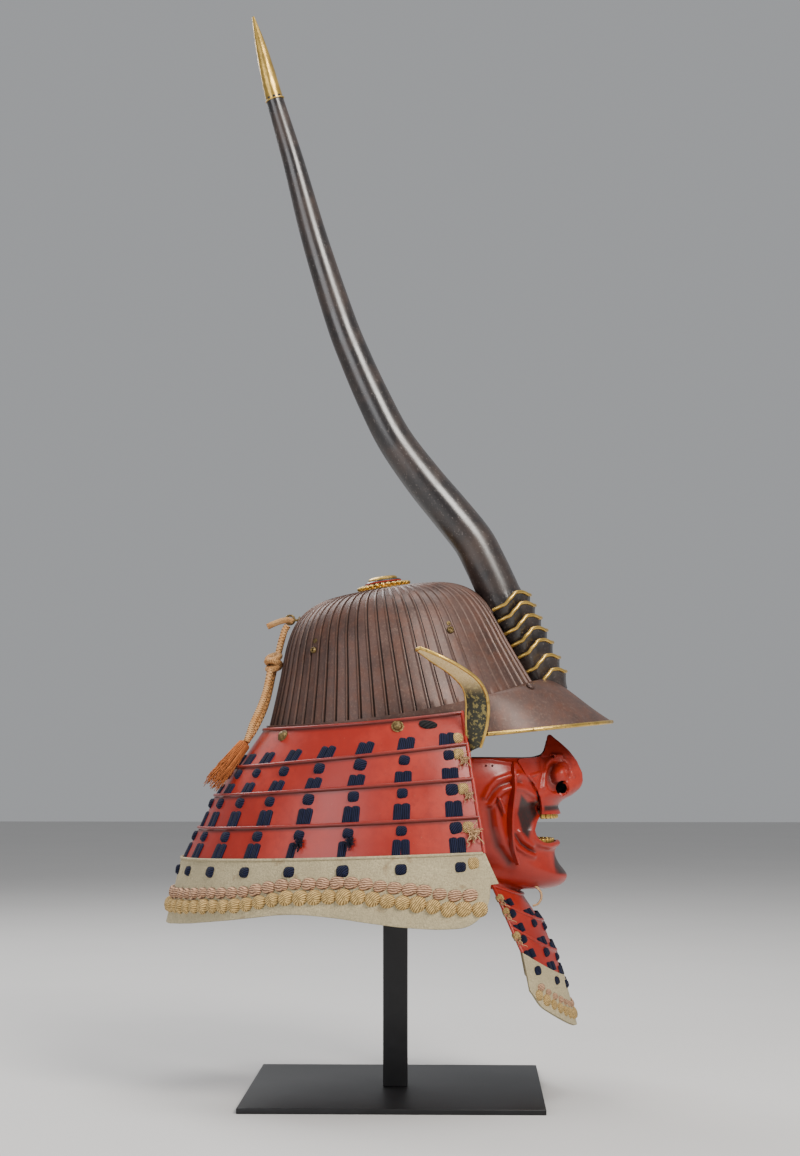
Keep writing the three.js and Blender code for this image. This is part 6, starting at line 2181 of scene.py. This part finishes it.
def floor():
    ground = added(bpy.ops.mesh.primitive_plane_add, size=14)
    ground.name = "studio_floor"
    material, tree, shader, place = start_material("studio floor", 0.85)
    rgb = sizes("kabuto_colours").floor
    if tree:
        tooth = grouped(tree, mottle_group(), place.outputs["Object"], Scale=3.0, Low=0.3, High=0.7)
        colour_with(tree, shader, tooth, rgb, scaled(rgb, 0.97))
    ground.data.materials.append(material)


# Operators, one for each piece or group of like pieces


class KABUTO_OT_stage(bpy.types.Operator):
    """Set the camera, the lights and the floor"""
    bl_idname = "kabuto.stage"
    bl_label = "Stage"

    def execute(self, context):
        camera()
        lights()
        floor()
        return {"FINISHED"}


class KABUTO_OT_cords(bpy.types.Operator):
    """Add the ring and the tied cord at the back"""
    bl_idname = "kabuto.cords"
    bl_label = "Ring and cord"

    def execute(self, context):
        cords()
        ring_at_back()
        return {"FINISHED"}


class KABUTO_OT_bowl(bpy.types.Operator):
    """Add the ribbed bowl with its band, eyelets and crown ornament"""
    bl_idname = "kabuto.bowl"
    bl_label = "Bowl"

    def execute(self, context):
        bowl_shell()
        rim_band()
        eyelets()
        crown_ornament()
        return {"FINISHED"}


class KABUTO_OT_neck_guard(bpy.types.Operator):
    """Add the lames of the neck guard and their rivets"""
    bl_idname = "kabuto.neck_guard"
    bl_label = "Neck guard"

    def execute(self, context):
        for row in range(4):
            neck_lame(row)
        leather_lame()
        rim_rivets()
        return {"FINISHED"}


class KABUTO_OT_lacing(bpy.types.Operator):
    """Add the silk lacing and the knots of the neck guard"""
    bl_idname = "kabuto.lacing"
    bl_label = "Lacing"

    def execute(self, context):
        lacing_strands()
        lacing_knots()
        leather_knots()
        front_tufts()
        return {"FINISHED"}


class KABUTO_OT_visor(bpy.types.Operator):
    """Add the visor with its gold rim and rivets"""
    bl_idname = "kabuto.visor"
    bl_label = "Visor"

    def execute(self, context):
        visor()
        return {"FINISHED"}


class KABUTO_OT_horn(bpy.types.Operator):
    """Add the horn crest with its gold tip and collars"""
    bl_idname = "kabuto.horn"
    bl_label = "Horn"

    def execute(self, context):
        horn()
        horn_collars()
        return {"FINISHED"}


class KABUTO_OT_ears(bpy.types.Operator):
    """Add the turned-back ears with their gold rims"""
    bl_idname = "kabuto.ears"
    bl_label = "Ears"

    def execute(self, context):
        ears()
        return {"FINISHED"}


class KABUTO_OT_mask(bpy.types.Operator):
    """Add the face mask with its nose piece, teeth and cheek ridges"""
    bl_idname = "kabuto.mask"
    bl_label = "Mask"

    def execute(self, context):
        face_shell()
        nose_piece()
        cheek_flanges()
        mask_details()
        teeth()
        return {"FINISHED"}


class KABUTO_OT_throat(bpy.types.Operator):
    """Add the throat guard and its lacing"""
    bl_idname = "kabuto.throat"
    bl_label = "Throat guard"

    def execute(self, context):
        for row in range(4):
            throat_lame(row)
        throat_lacing()
        return {"FINISHED"}


class KABUTO_OT_stand(bpy.types.Operator):
    """Add the plate and the post of the stand"""
    bl_idname = "kabuto.stand"
    bl_label = "Stand"

    def execute(self, context):
        stand()
        return {"FINISHED"}


OPERATORS = [
    KABUTO_OT_stage, KABUTO_OT_cords, KABUTO_OT_bowl, KABUTO_OT_neck_guard, KABUTO_OT_lacing,
    KABUTO_OT_visor, KABUTO_OT_horn, KABUTO_OT_ears, KABUTO_OT_mask, KABUTO_OT_throat, KABUTO_OT_stand,
]


class KABUTO_PT_panel(bpy.types.Panel):
    bl_idname = "KABUTO_PT_panel"
    bl_label = "Kabuto"
    bl_space_type = "VIEW_3D"
    bl_region_type = "UI"
    bl_category = "Kabuto"

    def draw(self, context):
        for name, group in GROUPS.items():
            box = self.layout.box()
            for key in group.__annotations__:
                box.prop(getattr(context.scene, name), key)
        for operator in OPERATORS:
            self.layout.operator(operator.bl_idname)


def register():
    for group in GROUPS.values():
        bpy.utils.register_class(group)
    for operator in OPERATORS:
        bpy.utils.register_class(operator)
    bpy.utils.register_class(KABUTO_PT_panel)
    for name, group in GROUPS.items():
        setattr(bpy.types.Scene, name, PointerProperty(type=group))


def unregister():
    for name in GROUPS:
        delattr(bpy.types.Scene, name)
    bpy.utils.unregister_class(KABUTO_PT_panel)
    for operator in reversed(OPERATORS):
        bpy.utils.unregister_class(operator)
    for group in reversed(GROUPS.values()):
        bpy.utils.unregister_class(group)


def main():
    register()
    bpy.ops.kabuto.stage()
    bpy.ops.kabuto.cords()
    bpy.ops.kabuto.bowl()
    bpy.ops.kabuto.neck_guard()
    bpy.ops.kabuto.lacing()
    bpy.ops.kabuto.visor()
    bpy.ops.kabuto.horn()
    bpy.ops.kabuto.ears()
    bpy.ops.kabuto.mask()
    bpy.ops.kabuto.throat()
    bpy.ops.kabuto.stand()


if __name__ == "__main__":
    main()
